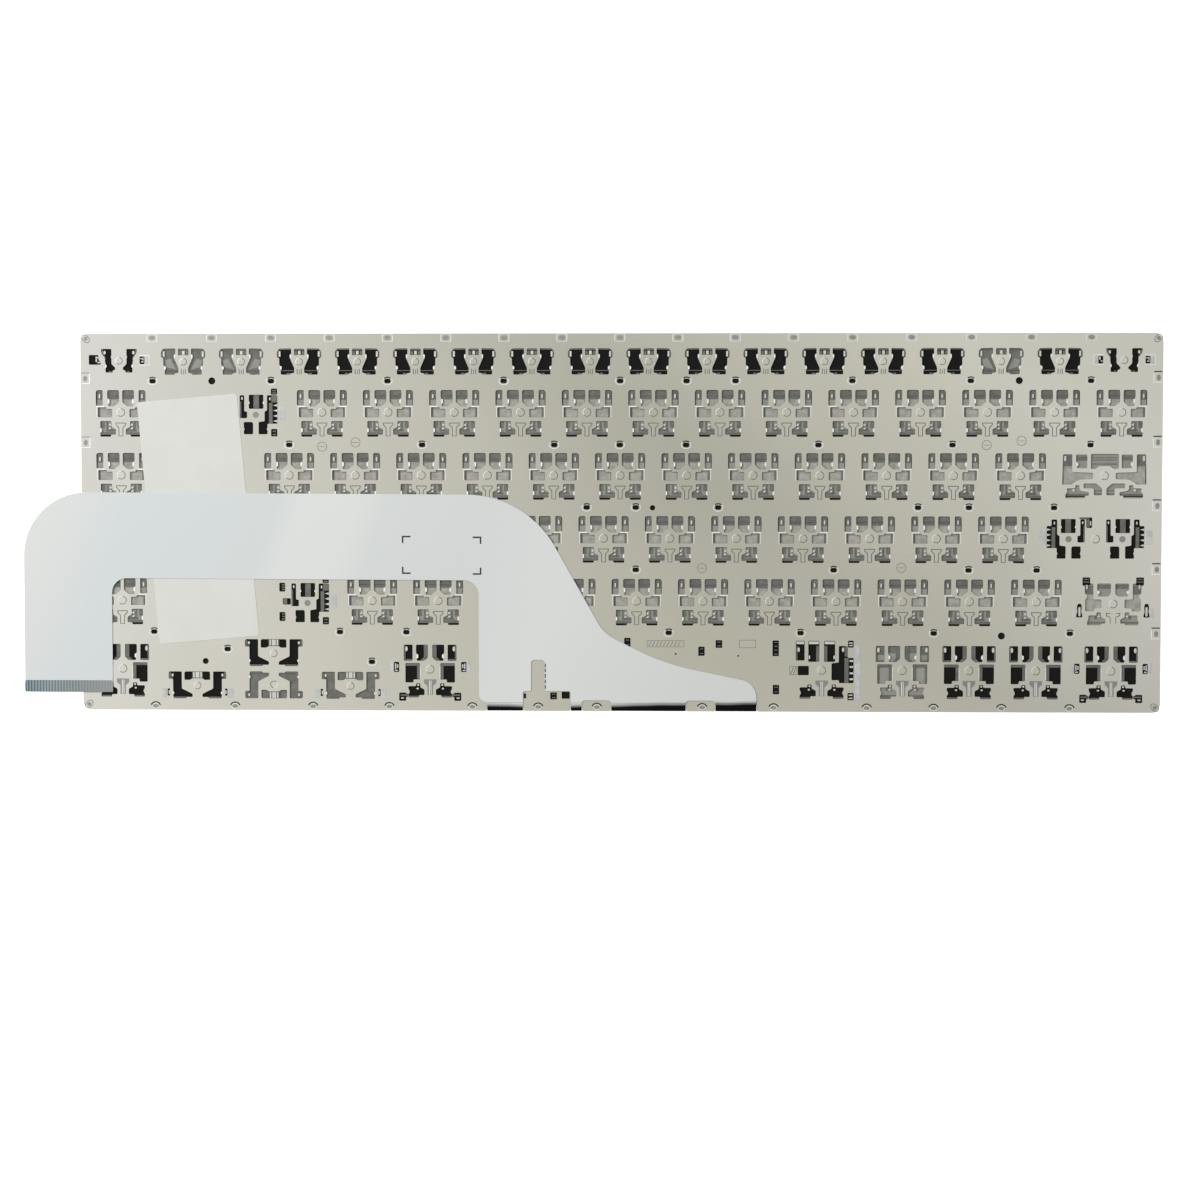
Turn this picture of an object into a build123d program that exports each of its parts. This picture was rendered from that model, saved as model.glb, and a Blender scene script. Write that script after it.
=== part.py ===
from build123d import *
import os

os.makedirs("parts", exist_ok=True)

# A laptop keyboard lying on its keys, with the stamped support plate on top.
# X runs along the rows, Y across them towards the function row, Z up to the plate's back.
# The key tops lie at Z = 0 and the plate's middle is at X = Y = 0. Lengths are in millimetres.

# Key layout
key_pitch = 19.05
row_pitch = 18.05
function_row_depth = 12.0
last_row_depth = 20.5
arrow_row_pitch = 9.0
column_gap = 1.0
side_margin = 2.1
upper_margin = 1.6
lower_margin = 2.2

# Keycaps
cap_gap = 3.0
cap_taper = 0.5
cap_height = 1.5
arrow_cap_gap = 1.5

# Heights of the layers
key_travel = 1.4
folded_link_room = 0.65
membrane_thickness = 0.3
tail_thickness = 0.15
plate_thickness = 0.4
label_thickness = 0.1
stiffener_thickness = 0.1

# Support plate
plate_corner_radius = 2.3
membrane_inset = 1.2
locating_hole_radius = 1.0
locating_hole_spacing = 231.3
locating_hole_offset = -1.4
membrane_hole_clearance = 0.5

# Key seat: openings each side of the seat's centre line
seat_half_width = 7.2
seat_head = 6.1
seat_foot = 6.85
spine_width = 1.3
seat_bar = 1.0
window_width = 3.25
window_depth = 4.35
slot_foot = 1.5
foot_width = 4.4
foot_depth = 4.3
foot_inset = 1.35
last_seat_drop = 0.5
last_seat_stretch = 1.2

# Function key seat: one leaning opening each side
function_seat_head = 3.9
function_seat_foot = 3.65
function_seat_outer = 6.4
function_seat_inner = 2.3
function_seat_lean = 0.9

# Paired seats under a wide key, each with an opening for the stabiliser hook
pair_slot_width = 1.5
pair_slot_outer = 4.5
pair_head = 5.6
pair_foot = 5.4
pair_window_width = 4.1
pair_window_depth = 3.8
pair_hook_inner = 3.4
pair_hook_outer = 6.2
backspace_seat_spread = 9.75
caps_lock_seat_spread = 7.65
right_shift_seat_spread = 17.1
space_seat_spread = 43.6
space_seat_stretch = 1.5

# Tab key seat
tab_seat_half_width = 11.7
tab_slot_width = 2.6
tab_window_half_width = 4.0

# Arrow key seat: an L-shaped opening each side and one between them
arrow_seat_outer = 7.7
arrow_seat_inner = 4.6
arrow_seat_toe = 1.25
arrow_seat_half_depth = 3.8
arrow_heel_height = 2.5
arrow_window_half_width = 3.7
arrow_window_depth = 2.4
arrow_down_turn = 180.0

# Key mechanism
dome_base = 5.4
dome_tip = 2.8
link_width = 1.0
link_thickness = 0.5
link_spacing = 11.0
pair_link_offset = 3.75
link_length = 9.2
arrow_link_length = 4.6
mechanism_clearance = 0.15
bar_width = 0.8
bar_thickness = 0.5
bar_clearance = 0.05
bar_inset = 1.2

# Flex tail, measured from the plate's lower edge and left edge
tail_overhang = 16.9
tail_leg_width = 25.6
tail_end_height = 5.1
tail_band_height = 37.9
tail_band_width = 24.3
tail_outer_radius = 17.0
tail_inner_radius = 3.5
tail_shoulder_x = -26.6
tail_shoulder_radius = 17.0
tail_waist_x = -4.1
tail_waist_height = 22.3
tail_waist_radius = 4.0
tail_knee_x = 13.4
tail_knee_height = 13.65
tail_knee_radius = 15.0
tail_flare_height = 8.25
tail_flare_radius = 3.5
root_left = -37.8
root_right = 39.7
root_flare = 2.4
root_flare_height = 3.2
root_recess = 2.3
fold_setback = 0.2
fold_pinch = 0.45
stiffener_length = 2.9

# Plate tongues that stand between the folds of the tail: middle and width of each
wide_tongue_x = -20.6
wide_tongue_width = 13.2
middle_tongue_x = -6.3
right_tongue_x = 23.65
narrow_tongue_width = 7.9
tongue_clearance = 0.3
tongue_slot_x = -23.15
tongue_slot_width = 3.9
tongue_slot_height = 14.75
wide_notch_height = 5.75
narrow_notch_height = 3.0

# Blank label under the tail
label_width = 29.0
label_length = 70.0
label_x = -121.2
label_y = 0.9
label_turn = 5.0

# Sizes that follow from the layout
block_units = 15
block_length = block_units * key_pitch
plate_length = 2 * side_margin + block_length + column_gap + key_pitch
letter_rows = 4
plate_depth = upper_margin + function_row_depth + letter_rows * row_pitch + last_row_depth + lower_margin
plate_right = plate_length / 2
plate_left = -plate_right
plate_upper = plate_depth / 2
plate_lower = -plate_upper
block_right = plate_right - side_margin
column_x = plate_left + side_margin + key_pitch / 2

function_line = plate_upper - upper_margin - function_row_depth
function_y = function_line + function_row_depth / 2
number_y = function_line - row_pitch / 2
upper_y = number_y - row_pitch
home_y = upper_y - row_pitch
lower_y = home_y - row_pitch
last_y = lower_y - row_pitch / 2 - last_row_depth / 2
last_seat_y = last_y - last_seat_drop
row_cap_depth = row_pitch - cap_gap
last_cap_depth = last_row_depth - cap_gap
function_cap_depth = function_row_depth - cap_gap
arrow_cap_depth = arrow_row_pitch - arrow_cap_gap

membrane_z = cap_height + key_travel + folded_link_room
plate_z = membrane_z + membrane_thickness
plate_back_z = plate_z + plate_thickness
tail_z = plate_back_z + label_thickness
tail_top_z = tail_z + tail_thickness

# Keys by row, each as a name and a width in key units, from +X to -X
upper_letters = ["q", "w", "e", "r", "t", "y", "u", "i", "o", "p", "left_bracket", "right_bracket"]
home_letters = ["a", "s", "d", "f", "g", "h", "j", "k", "l", "semicolon", "quote", "hash"]
lower_letters = ["angle", "z", "x", "c", "v", "b", "n", "m", "comma", "period", "slash"]
number_keys = ["accent", "1", "2", "3", "4", "5", "6", "7", "8", "9", "0", "minus", "equals"]
number_row = [(name, 1) for name in number_keys] + [("backspace", 2)]
upper_row = [("tab", 1.5)] + [(name, 1) for name in upper_letters]
home_row = [("caps_lock", 1.75)] + [(name, 1) for name in home_letters]
lower_row = [("left_shift", 1.25)] + [(name, 1) for name in lower_letters] + [("right_shift", 2.75)]
arrow_units = 3.5 / 3
last_row = [("control", 1.25), ("fn", 1), ("system", 1), ("alt", 1), ("space", 6), ("alt_graph", 1.25),
            ("arrow_left", arrow_units), ("arrow_middle", arrow_units), ("arrow_right", arrow_units)]


def row_places(row):
    """Middle and width of each key of a row."""
    places = {}
    edge = block_right
    for name, units in row:
        width = units * key_pitch
        places[name] = (edge - width / 2, width)
        edge -= width
    return places


number_places = row_places(number_row)
upper_places = row_places(upper_row)
home_places = row_places(home_row)
lower_places = row_places(lower_row)
last_places = row_places(last_row)


def opening(x_min, x_max, y_min, y_max):
    """Rectangular opening between four edges."""
    return Pos((x_min + x_max) / 2, (y_min + y_max) / 2) * Rectangle(x_max - x_min, y_max - y_min)


def both_sides(shapes):
    """Shapes with their mirror images across the seat's centre line."""
    return shapes + [mirror(shape, about=Plane.YZ) for shape in shapes]


def key_seat(stretch):
    """Six openings of a letter key's seat, lengthened by a factor for the deeper last row."""
    head = seat_head * stretch
    foot = seat_foot * stretch
    window_outer = spine_width / 2 + window_width
    slot = opening(window_outer + seat_bar, seat_half_width, -slot_foot * stretch, head)
    window = opening(spine_width / 2, window_outer, head - window_depth, head)
    foot_outer = seat_half_width - foot_inset
    foot_hole = opening(foot_outer - foot_width, foot_outer, -foot, foot_depth - foot)
    return both_sides([slot, window, foot_hole])


def function_seat():
    """Two leaning openings of a function key's seat."""
    side = Polygon(
        (function_seat_outer, function_seat_head),
        (function_seat_inner, function_seat_head),
        (function_seat_inner - function_seat_lean, -function_seat_foot),
        (function_seat_outer - function_seat_lean, -function_seat_foot),
        align=None,
    )
    return both_sides([side])


def pair_seat(hook_side, stretch):
    """Half seat of a wide key: slot, window and the stabiliser's opening on hook_side (+1 or -1)."""
    head = pair_head * stretch
    foot = pair_foot * stretch
    slot = opening(-pair_slot_outer, pair_slot_width - pair_slot_outer, -foot, head)
    window = opening(-pair_window_width / 2, pair_window_width / 2, head - pair_window_depth, head)
    hook = opening(pair_hook_inner, pair_hook_outer, -foot, head)
    shapes = [slot, window, hook]
    return shapes if hook_side > 0 else [mirror(shape, about=Plane.YZ) for shape in shapes]


def tab_seat():
    """Openings of the tab key's wide seat."""
    slot = opening(tab_seat_half_width - tab_slot_width, tab_seat_half_width, -slot_foot, seat_head)
    foot = opening(spine_width / 2, tab_seat_half_width - foot_inset, -seat_foot, foot_depth - seat_foot)
    middle = opening(-tab_window_half_width, tab_window_half_width, seat_head - window_depth, seat_head)
    return both_sides([slot, foot]) + [middle]


def arrow_seat():
    """Openings of an arrow key's shallow seat."""
    side = Polygon(
        (arrow_seat_outer, arrow_seat_half_depth),
        (arrow_seat_inner, arrow_seat_half_depth),
        (arrow_seat_inner, arrow_heel_height - arrow_seat_half_depth),
        (arrow_seat_toe, -arrow_seat_half_depth),
        (arrow_seat_outer, -arrow_seat_half_depth),
        align=None,
    )
    window_foot = arrow_seat_half_depth - arrow_window_depth
    window = opening(-arrow_window_half_width, arrow_window_half_width, window_foot, arrow_seat_half_depth)
    return both_sides([side]) + [window]


# Places of the keys: (x, y, width, depth) of each cap
function_units = 16
function_pitch = (block_right - plate_left - side_margin - 2 * key_pitch) / function_units
function_xs = [column_x + key_pitch / 2 + (place + 0.5) * function_pitch for place in range(function_units)]
end_xs = [column_x, block_right - key_pitch / 2]
number_xs = [number_places[name][0] for name in number_keys]
column_ys = [number_y, upper_y, home_y, lower_y]

single_cap = key_pitch - cap_gap
function_caps = [(x, function_y, function_pitch - cap_gap, function_cap_depth) for x in function_xs]
function_caps += [(x, function_y, single_cap, function_cap_depth) for x in end_xs]
number_caps = [(x, number_y, single_cap, row_cap_depth) for x in number_xs]
number_caps += [(column_x, y, single_cap, row_cap_depth) for y in column_ys]
number_caps += [(column_x, last_y, single_cap, last_cap_depth)]

moving_caps = {}
for places, y in [(upper_places, upper_y), (home_places, home_y), (lower_places, lower_y)]:
    for name, (x, width) in places.items():
        moving_caps[name] = (x, y, width - cap_gap, row_cap_depth)
backspace_x, backspace_width = number_places["backspace"]
moving_caps["backspace"] = (backspace_x, number_y, backspace_width - cap_gap, row_cap_depth)
for name in ["control", "fn", "system", "alt", "space", "alt_graph"]:
    x, width = last_places[name]
    moving_caps[name] = (x, last_y, width - cap_gap, last_cap_depth)
arrow_upper_y = last_seat_y + arrow_row_pitch / 2
arrow_lower_y = last_seat_y - arrow_row_pitch / 2
arrow_cap = arrow_units * key_pitch - cap_gap
moving_caps["arrow_left"] = (last_places["arrow_left"][0], arrow_lower_y, arrow_cap, arrow_cap_depth)
moving_caps["arrow_up"] = (last_places["arrow_middle"][0], arrow_upper_y, arrow_cap, arrow_cap_depth)
moving_caps["arrow_down"] = (last_places["arrow_middle"][0], arrow_lower_y, arrow_cap, arrow_cap_depth)
moving_caps["arrow_right"] = (last_places["arrow_right"][0], arrow_lower_y, arrow_cap, arrow_cap_depth)

# The enter key spans two rows: a wide upper half and a narrower lower half
enter_left = block_right - block_length + cap_gap / 2
enter_upper_right = upper_places["right_bracket"][0] - key_pitch / 2 - cap_gap / 2
enter_lower_right = home_places["hash"][0] - key_pitch / 2 - cap_gap / 2
enter_top = upper_y + row_cap_depth / 2
enter_step = upper_y - row_cap_depth / 2
enter_bottom = home_y - row_cap_depth / 2
enter_x = (enter_left + enter_lower_right) / 2
enter_y = (enter_top + enter_bottom) / 2

# Wide keys stand on two seats, each this far from the key's middle
seat_spreads = {
    "backspace": backspace_seat_spread,
    "caps_lock": caps_lock_seat_spread,
    "right_shift": right_shift_seat_spread,
    "space": space_seat_spread,
}
arrow_names = ["arrow_left", "arrow_up", "arrow_down", "arrow_right"]


def frustum(x, y, width, depth, z_crown, z_rim, taper):
    """Block that narrows by taper on each side, from its rim at z_rim to its crown at z_crown."""
    wedge = Wedge(width, z_rim - z_crown, depth, taper, taper, width - taper, depth - taper)
    return Pos(x, y, (z_crown + z_rim) / 2) * Rot(-90, 0, 0) * wedge


def keycap(x, y, width, depth):
    """Keycap with its crown at Z = 0."""
    return frustum(x, y, width, depth, 0, cap_height, cap_taper)


def enter_profile(inset):
    """Outline of the enter key, drawn in by inset all round."""
    return Polygon(
        (enter_left + inset, enter_top - inset),
        (enter_upper_right - inset, enter_top - inset),
        (enter_upper_right - inset, enter_step + inset),
        (enter_lower_right - inset, enter_step + inset),
        (enter_lower_right - inset, enter_bottom + inset),
        (enter_left + inset, enter_bottom + inset),
        align=None,
    )


def enter_cap():
    """L-shaped enter key."""
    return loft([enter_profile(cap_taper), Pos(0, 0, cap_height) * enter_profile(0)], ruled=True)


def rubber_dome(x, y):
    """Dome glued to the membrane, with its tip just clear of the keycap."""
    tip_z = cap_height + mechanism_clearance
    return frustum(x, y, dome_base, dome_base, tip_z, membrane_z, (dome_base - dome_tip) / 2)


def scissor_link(x, y, length, lean):
    """Link that slopes from the keycap up to the plate's hooks, towards +Y or -Y as lean is +1 or -1."""
    low = cap_height + mechanism_clearance
    high = membrane_z - mechanism_clearance
    reach = lean * length / 2
    profile = Polygon(
        (reach, high),
        (reach, high - link_thickness),
        (-reach, low),
        (-reach, low + link_thickness),
        align=None,
    )
    return Pos(x, y, 0) * extrude(Plane.YZ * profile, link_width / 2, both=True)


def link_pair(x, y, length):
    """The two crossed links of one seat."""
    return [scissor_link(x + side * link_spacing / 2, y, length, side) for side in [-1, 1]]


def stabiliser_bar(x, y, width, depth):
    """Bar that keeps a wide key level, hooked under the plate."""
    bar = Rectangle(width - 2 * bar_inset, bar_width)
    bar_y = y + depth / 2 - bar_inset - bar_width / 2
    return Pos(x, bar_y, membrane_z - bar_clearance - bar_thickness) * extrude(bar, bar_thickness)


# Tail outline: two legs with a band between them, rooted along the plate's lower edge
fold_upper_y = plate_lower + root_recess
fold_lower_y = plate_lower + fold_setback
tail_left = plate_left - tail_overhang
tail_inner_x = tail_left + tail_leg_width
tail_end_y = plate_lower + tail_end_height
band_lower_y = plate_lower + tail_band_height
band_upper_y = band_lower_y + tail_band_width
tail_leg_x = root_left - root_flare
outer_corners = [
    (tail_left, band_upper_y),
    (tail_shoulder_x, band_upper_y),
    (tail_waist_x, plate_lower + tail_waist_height),
    (tail_knee_x, plate_lower + tail_knee_height),
    (root_right, plate_lower + tail_flare_height),
]
outer_radii = [tail_outer_radius, tail_shoulder_radius, tail_waist_radius, tail_knee_radius, tail_flare_radius]
inner_corners = [
    (tail_leg_x, plate_lower + root_flare_height),
    (tail_leg_x, band_lower_y),
    (tail_inner_x, band_lower_y),
]
inner_radii = [0, tail_inner_radius, tail_inner_radius]
outer_end = (tail_left, tail_end_y)
inner_end = (tail_inner_x, tail_end_y)
outer_root = (root_right, fold_upper_y)
inner_root = (root_left, fold_upper_y)
outer_edge = FilletPolyline(outer_end, *outer_corners, outer_root, radius=outer_radii)
inner_edge = FilletPolyline(inner_root, *inner_corners, inner_end, radius=inner_radii)
tail_outline = make_face(outer_edge + Line(outer_root, inner_root) + inner_edge + Line(inner_end, outer_end))
label_outline = Pos(label_x, label_y) * Rot(0, 0, label_turn) * Rectangle(label_width, label_length)

# Seats in the plate, and the mechanism over each seat. The plate stays whole under the tail and the label.
seat_openings = []
domes = []
links = []
bars = []
letter_seat = key_seat(1)
last_seat = key_seat(last_seat_stretch)
small_seat = function_seat()
shallow_seat = arrow_seat()


def add_seat(shapes, x, y, turn=0):
    """Punch one seat's openings, unless the tail or the label lies over it."""
    middle = Vector(x, y, 0)
    if tail_outline.face().is_inside(middle) or label_outline.face().is_inside(middle):
        return
    for shape in shapes:
        seat_openings.append(Pos(x, y) * Rot(0, 0, turn) * shape)


for x, y, width, depth in function_caps:
    add_seat(small_seat, x, y)
for x in number_xs:
    add_seat(letter_seat, x, number_y)
for y in column_ys:
    add_seat(letter_seat, column_x, y)
add_seat(last_seat, column_x, last_seat_y)
for name, (x, y, width, depth) in moving_caps.items():
    if name in seat_spreads:
        seat_y = last_seat_y if name == "space" else y
        stretch = space_seat_stretch if name == "space" else 1
        for side in [-1, 1]:
            seat_x = x + side * seat_spreads[name]
            add_seat(pair_seat(side, stretch), seat_x, seat_y)
            links.append(scissor_link(seat_x - side * pair_link_offset, seat_y, link_length, side))
        bars.append(stabiliser_bar(x, y, width, depth))
    elif name in arrow_names:
        add_seat(shallow_seat, x, y, arrow_down_turn if name == "arrow_down" else 0)
        links.append(scissor_link(x + link_spacing / 2, y, arrow_link_length, 1))
    elif name in last_places:
        add_seat(last_seat, x, last_seat_y)
        links += link_pair(x, last_seat_y, link_length)
    else:
        add_seat(tab_seat() if name == "tab" else letter_seat, x, y)
        links += link_pair(x, y, link_length)
add_seat(letter_seat, enter_x, enter_y)
links += link_pair(enter_x, enter_y, link_length)
for x, y, width, depth in function_caps + number_caps + list(moving_caps.values()):
    domes.append(rubber_dome(x, y))
domes.append(rubber_dome(enter_x, enter_y))

# Plate tongues between the folds, and the notches in the tail that they stand in
tongues = [
    (wide_tongue_x, wide_tongue_width, wide_notch_height),
    (middle_tongue_x, narrow_tongue_width, narrow_notch_height),
    (right_tongue_x, narrow_tongue_width, narrow_notch_height),
]
tongue_notches = []
for x, width, height in tongues:
    half = width / 2 + tongue_clearance
    tongue_notches.append(opening(x - half, x + half, plate_lower, plate_lower + height))
slot_half = tongue_slot_width / 2
slot_upper = plate_lower + tongue_slot_height
tongue_notches.append(opening(tongue_slot_x - slot_half, tongue_slot_x + slot_half, plate_lower, slot_upper))

# Folds of the tail: the stretches of its root between the tongues
fold_edges = [root_left]
for x, width, height in tongues:
    fold_edges += [x - width / 2 - tongue_clearance, x + width / 2 + tongue_clearance]
fold_edges.append(root_right)
folds = list(zip(fold_edges[0::2], fold_edges[1::2]))

# Support plate
plate_outline = RectangleRounded(plate_length, plate_depth, plate_corner_radius)
recesses = []
for start, end in folds:
    recess = opening(start - tongue_clearance, end + tongue_clearance, plate_lower, plate_lower + root_recess)
    recesses.append(recess)
hole_places = [locating_hole_offset - locating_hole_spacing / 2, locating_hole_offset + locating_hole_spacing / 2]
holes = [Pos(x, function_line) * Circle(locating_hole_radius) for x in hole_places]
plate_face = plate_outline - (seat_openings + recesses + holes)
support_plate = Pos(0, 0, plate_z) * extrude(plate_face, plate_thickness)

# Membrane under the plate, with the tail folded out of it and over the plate's lower edge
membrane_half = plate_length / 2 - membrane_inset
membrane_lower = plate_lower + root_recess + membrane_inset
membrane_upper = plate_upper - membrane_inset
membrane_hole = 2 * (locating_hole_radius + membrane_hole_clearance)
membrane_face = opening(-membrane_half, membrane_half, membrane_lower, membrane_upper)
membrane_face -= [Pos(x, function_line) * Rectangle(membrane_hole, membrane_hole) for x in hole_places]
fold_profile = Polygon(
    (fold_upper_y, tail_top_z),
    (fold_lower_y, plate_z),
    (fold_lower_y, plate_z - tail_thickness),
    (membrane_lower, plate_z - tail_thickness),
    (membrane_lower, plate_z),
    (fold_lower_y + fold_pinch, plate_z),
    (fold_upper_y, tail_z),
    align=None,
)
membrane_sheet = Pos(0, 0, membrane_z) * extrude(membrane_face, membrane_thickness)
tail = Pos(0, 0, tail_z) * extrude(tail_outline - tongue_notches, tail_thickness)
for start, end in folds:
    fold = extrude(Plane.YZ * fold_profile, (end - start) / 2, both=True)
    tail += Pos((start + end) / 2, 0, 0) * fold
stiffener_face = opening(tail_left, tail_inner_x, tail_end_y, tail_end_y + stiffener_length)
tail_stiffener = Pos(0, 0, tail_top_z) * extrude(stiffener_face, stiffener_thickness)

# Blank label on the plate's back, partly under the tail
blank_label = Pos(0, 0, plate_back_z) * extrude(label_outline, label_thickness)

nodes = {
    "support_plate": [support_plate],
    "membrane": [membrane_sheet, tail],
    "tail_stiffener": [tail_stiffener],
    "blank_label": [blank_label],
    "rubber_domes": domes,
    "scissor_links": links,
    "stabiliser_bars": bars,
    "function_keys": [keycap(*place) for place in function_caps],
    "number_keys": [keycap(*place) for place in number_caps],
    "key_enter": [enter_cap()],
}
for name, place in moving_caps.items():
    nodes["key_" + name] = [keycap(*place)]
for name, pieces in nodes.items():
    solids = [solid for piece in pieces for solid in piece.solids()]
    export_step(Compound(solids), "parts/" + name + ".step")
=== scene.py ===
"""Dressing for a laptop keyboard that lies on its keys, with its stamped plate and flex tail on top."""
import math

import bpy
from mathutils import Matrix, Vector


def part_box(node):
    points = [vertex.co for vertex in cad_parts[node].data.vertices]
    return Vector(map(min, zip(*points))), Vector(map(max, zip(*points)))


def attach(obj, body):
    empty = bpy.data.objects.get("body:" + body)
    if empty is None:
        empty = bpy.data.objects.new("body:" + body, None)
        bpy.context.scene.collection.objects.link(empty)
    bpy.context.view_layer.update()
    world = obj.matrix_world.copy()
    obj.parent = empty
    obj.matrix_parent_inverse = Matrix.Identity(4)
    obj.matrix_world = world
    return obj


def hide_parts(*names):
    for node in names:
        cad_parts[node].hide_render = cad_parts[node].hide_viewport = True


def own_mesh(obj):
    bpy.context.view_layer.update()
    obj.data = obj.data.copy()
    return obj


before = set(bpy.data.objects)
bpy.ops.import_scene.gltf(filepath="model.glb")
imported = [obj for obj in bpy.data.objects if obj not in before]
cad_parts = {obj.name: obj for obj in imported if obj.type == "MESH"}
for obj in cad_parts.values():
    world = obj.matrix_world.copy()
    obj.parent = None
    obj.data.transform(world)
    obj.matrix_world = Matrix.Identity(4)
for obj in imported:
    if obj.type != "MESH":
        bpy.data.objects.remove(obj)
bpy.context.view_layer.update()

bl_info = {
    "name": "Laptop Keyboard Dressing",
    "version": (1, 0, 0),
    "blender": (4, 5, 0),
    "location": "View3D > Sidebar > Keyboard",
    "description": "Adds the punched plate, film tail, keycaps and finishes to the keyboard's solids",
    "category": "Object",
}

ROOT = "frame"
MM = 0.001
# The openings of the seats are drawn on a square grid. One step of it, in millimetres
GRID = 0.2855
PLATE_LOW, PLATE_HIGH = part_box("support_plate")
FILM_LOW, FILM_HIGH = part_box("membrane")
LABEL_LOW, LABEL_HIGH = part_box("blank_label")
CONTACT_LOW, CONTACT_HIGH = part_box("tail_stiffener")
ENTER_LOW, ENTER_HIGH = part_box("key_enter")
KEY_NODES = sorted(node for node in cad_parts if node.startswith("key_"))
FUNCTION_KEYS = 16
NUMBER_KEYS = 13
# Gap between two keycaps, in metres
CAP_GAP = 0.003
# Width, depth and way of leaning of the two crossed link frames, in metres
LINK_FRAMES = [(0.012, 0.0092, 1), (0.0096, 0.0088, -1)]
# Name, place, size and power of each light
LIGHTS = [("overhead", (-0.4, 0.5, 1.2), 0.8, 5.0), ("left_box", (-0.8, 0.4, 0.8), 0.4, 8.0)]
# What the camera looks at, on top of the plate
CAMERA_AIM = Vector((-0.00528, -0.0222, PLATE_HIGH.z))
FLOOR_DROP = 0.0001
# Edges that turn by less than this are shaded smooth
SMOOTH_ANGLE = math.radians(35)


class PlateSettings(bpy.types.PropertyGroup):
    """Sizes and colours of the punched plate."""

    key_pitch: bpy.props.FloatProperty(
        name="Key pitch", description="Distance between the middles of two letter keys",
        default=0.01905, unit="LENGTH")
    side_margin: bpy.props.FloatProperty(
        name="Side margin", description="Plate beyond the last key at each side", default=0.0021,
        unit="LENGTH")
    edge_round: bpy.props.FloatProperty(
        name="Edge rounding", description="Rounding of the punched edges", default=0.00005, unit="LENGTH")
    corner_round: bpy.props.FloatProperty(
        name="Corner rounding", description="Rounding of the corners of the openings", default=0.00028,
        unit="LENGTH")
    outer_corner: bpy.props.FloatProperty(
        name="Outer corner", description="Radius of the plate's own corners", default=0.0023, unit="LENGTH")
    plate_tint: bpy.props.FloatVectorProperty(
        name="Plate tint", description="Colour of the metal", subtype="COLOR", default=(0.60, 0.60, 0.55))
    # Lighter than the plate: painted highlight on the bent hooks, the bright edges and the rings.
    hook_tint: bpy.props.FloatVectorProperty(
        name="Hook tint", description="Colour of the bright bent hooks", subtype="COLOR",
        default=(0.86, 0.86, 0.82))
    # Partly the membrane's own grey, and partly painted shade under the plate.
    seat_tint: bpy.props.FloatVectorProperty(
        name="Seat tint", description="Grey of the membrane behind the seats", subtype="COLOR",
        default=(0.27, 0.27, 0.245))


class FilmSettings(bpy.types.PropertyGroup):
    """Sizes and colours of the film tail and the label."""

    tail_tint: bpy.props.FloatVectorProperty(
        name="Tail tint", description="Colour of the film tail", subtype="COLOR", default=(0.63, 0.645, 0.63))
    contact_tint: bpy.props.FloatVectorProperty(
        name="Contact tint", description="Colour of the contact end", subtype="COLOR",
        default=(0.18, 0.205, 0.21))
    contact_pitch: bpy.props.FloatProperty(
        name="Contact pitch", description="Distance between two contact fingers", default=0.00086,
        unit="LENGTH")
    label_tint: bpy.props.FloatVectorProperty(
        name="Label tint", description="Colour of the blank label", subtype="COLOR",
        default=(0.63, 0.63, 0.595))


class KeySettings(bpy.types.PropertyGroup):
    """Sizes and colours of the keycaps and what carries them."""

    cap_taper: bpy.props.FloatProperty(
        name="Cap taper", description="How far the crown is drawn in at each side", default=0.0005,
        unit="LENGTH")
    cap_round: bpy.props.FloatProperty(
        name="Cap rounding", description="Radius of a keycap's corners", default=0.0013, unit="LENGTH")
    cap_wall: bpy.props.FloatProperty(
        name="Cap wall", description="Thickness of a keycap's side walls", default=0.0009, unit="LENGTH")
    dish_rim: bpy.props.FloatProperty(
        name="Dish rim", description="Flat rim round a keycap's dish", default=0.0007, unit="LENGTH")
    dish_depth: bpy.props.FloatProperty(
        name="Dish depth", description="How far a keycap's dish is sunk", default=0.00008, unit="LENGTH")
    hollow: bpy.props.FloatProperty(
        name="Hollow", description="Share of a keycap's height that is hollow", default=0.55)
    link_bar: bpy.props.FloatProperty(
        name="Link bar", description="Width of the bars of a link frame", default=0.0009, unit="LENGTH")
    link_thickness: bpy.props.FloatProperty(
        name="Link thickness", description="Thickness of a link frame", default=0.0005, unit="LENGTH")
    cap_tint: bpy.props.FloatVectorProperty(
        name="Cap tint", description="Colour of the keycaps", subtype="COLOR", default=(0.012, 0.012, 0.013))


class StageSettings(bpy.types.PropertyGroup):
    """Camera and light."""

    distance: bpy.props.FloatProperty(
        name="Camera distance", description="From the camera to the plate", default=0.9, unit="LENGTH")
    tilt: bpy.props.FloatProperty(
        name="Camera tilt", description="Lean of the view along the plate's depth",
        default=math.radians(-3.281), unit="ROTATION")
    pan: bpy.props.FloatProperty(
        name="Camera pan", description="Lean of the view along the plate's length",
        default=math.radians(2.077), unit="ROTATION")
    lens: bpy.props.FloatProperty(name="Lens", description="Focal length in millimetres", default=93.96)
    floor_tint: bpy.props.FloatVectorProperty(
        name="Floor tint", description="Colour of the floor", subtype="COLOR", default=(0.93, 0.93, 0.93))


# Drawing on the seat grid

def rect(left, right, low, high):
    """Rectangle between four edges."""
    return [(left, low), (right, low), (right, high), (left, high)]


def around(x, y, half_width, half_height):
    """Rectangle about a point."""
    return rect(x - half_width, x + half_width, y - half_height, y + half_height)


def oval(x, y, half_width, half_height, points=14):
    """Ellipse about a point."""
    turn = 2 * math.pi / points
    return [(x + half_width * math.cos(n * turn),
             y + half_height * math.sin(n * turn)) for n in range(points)]


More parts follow.
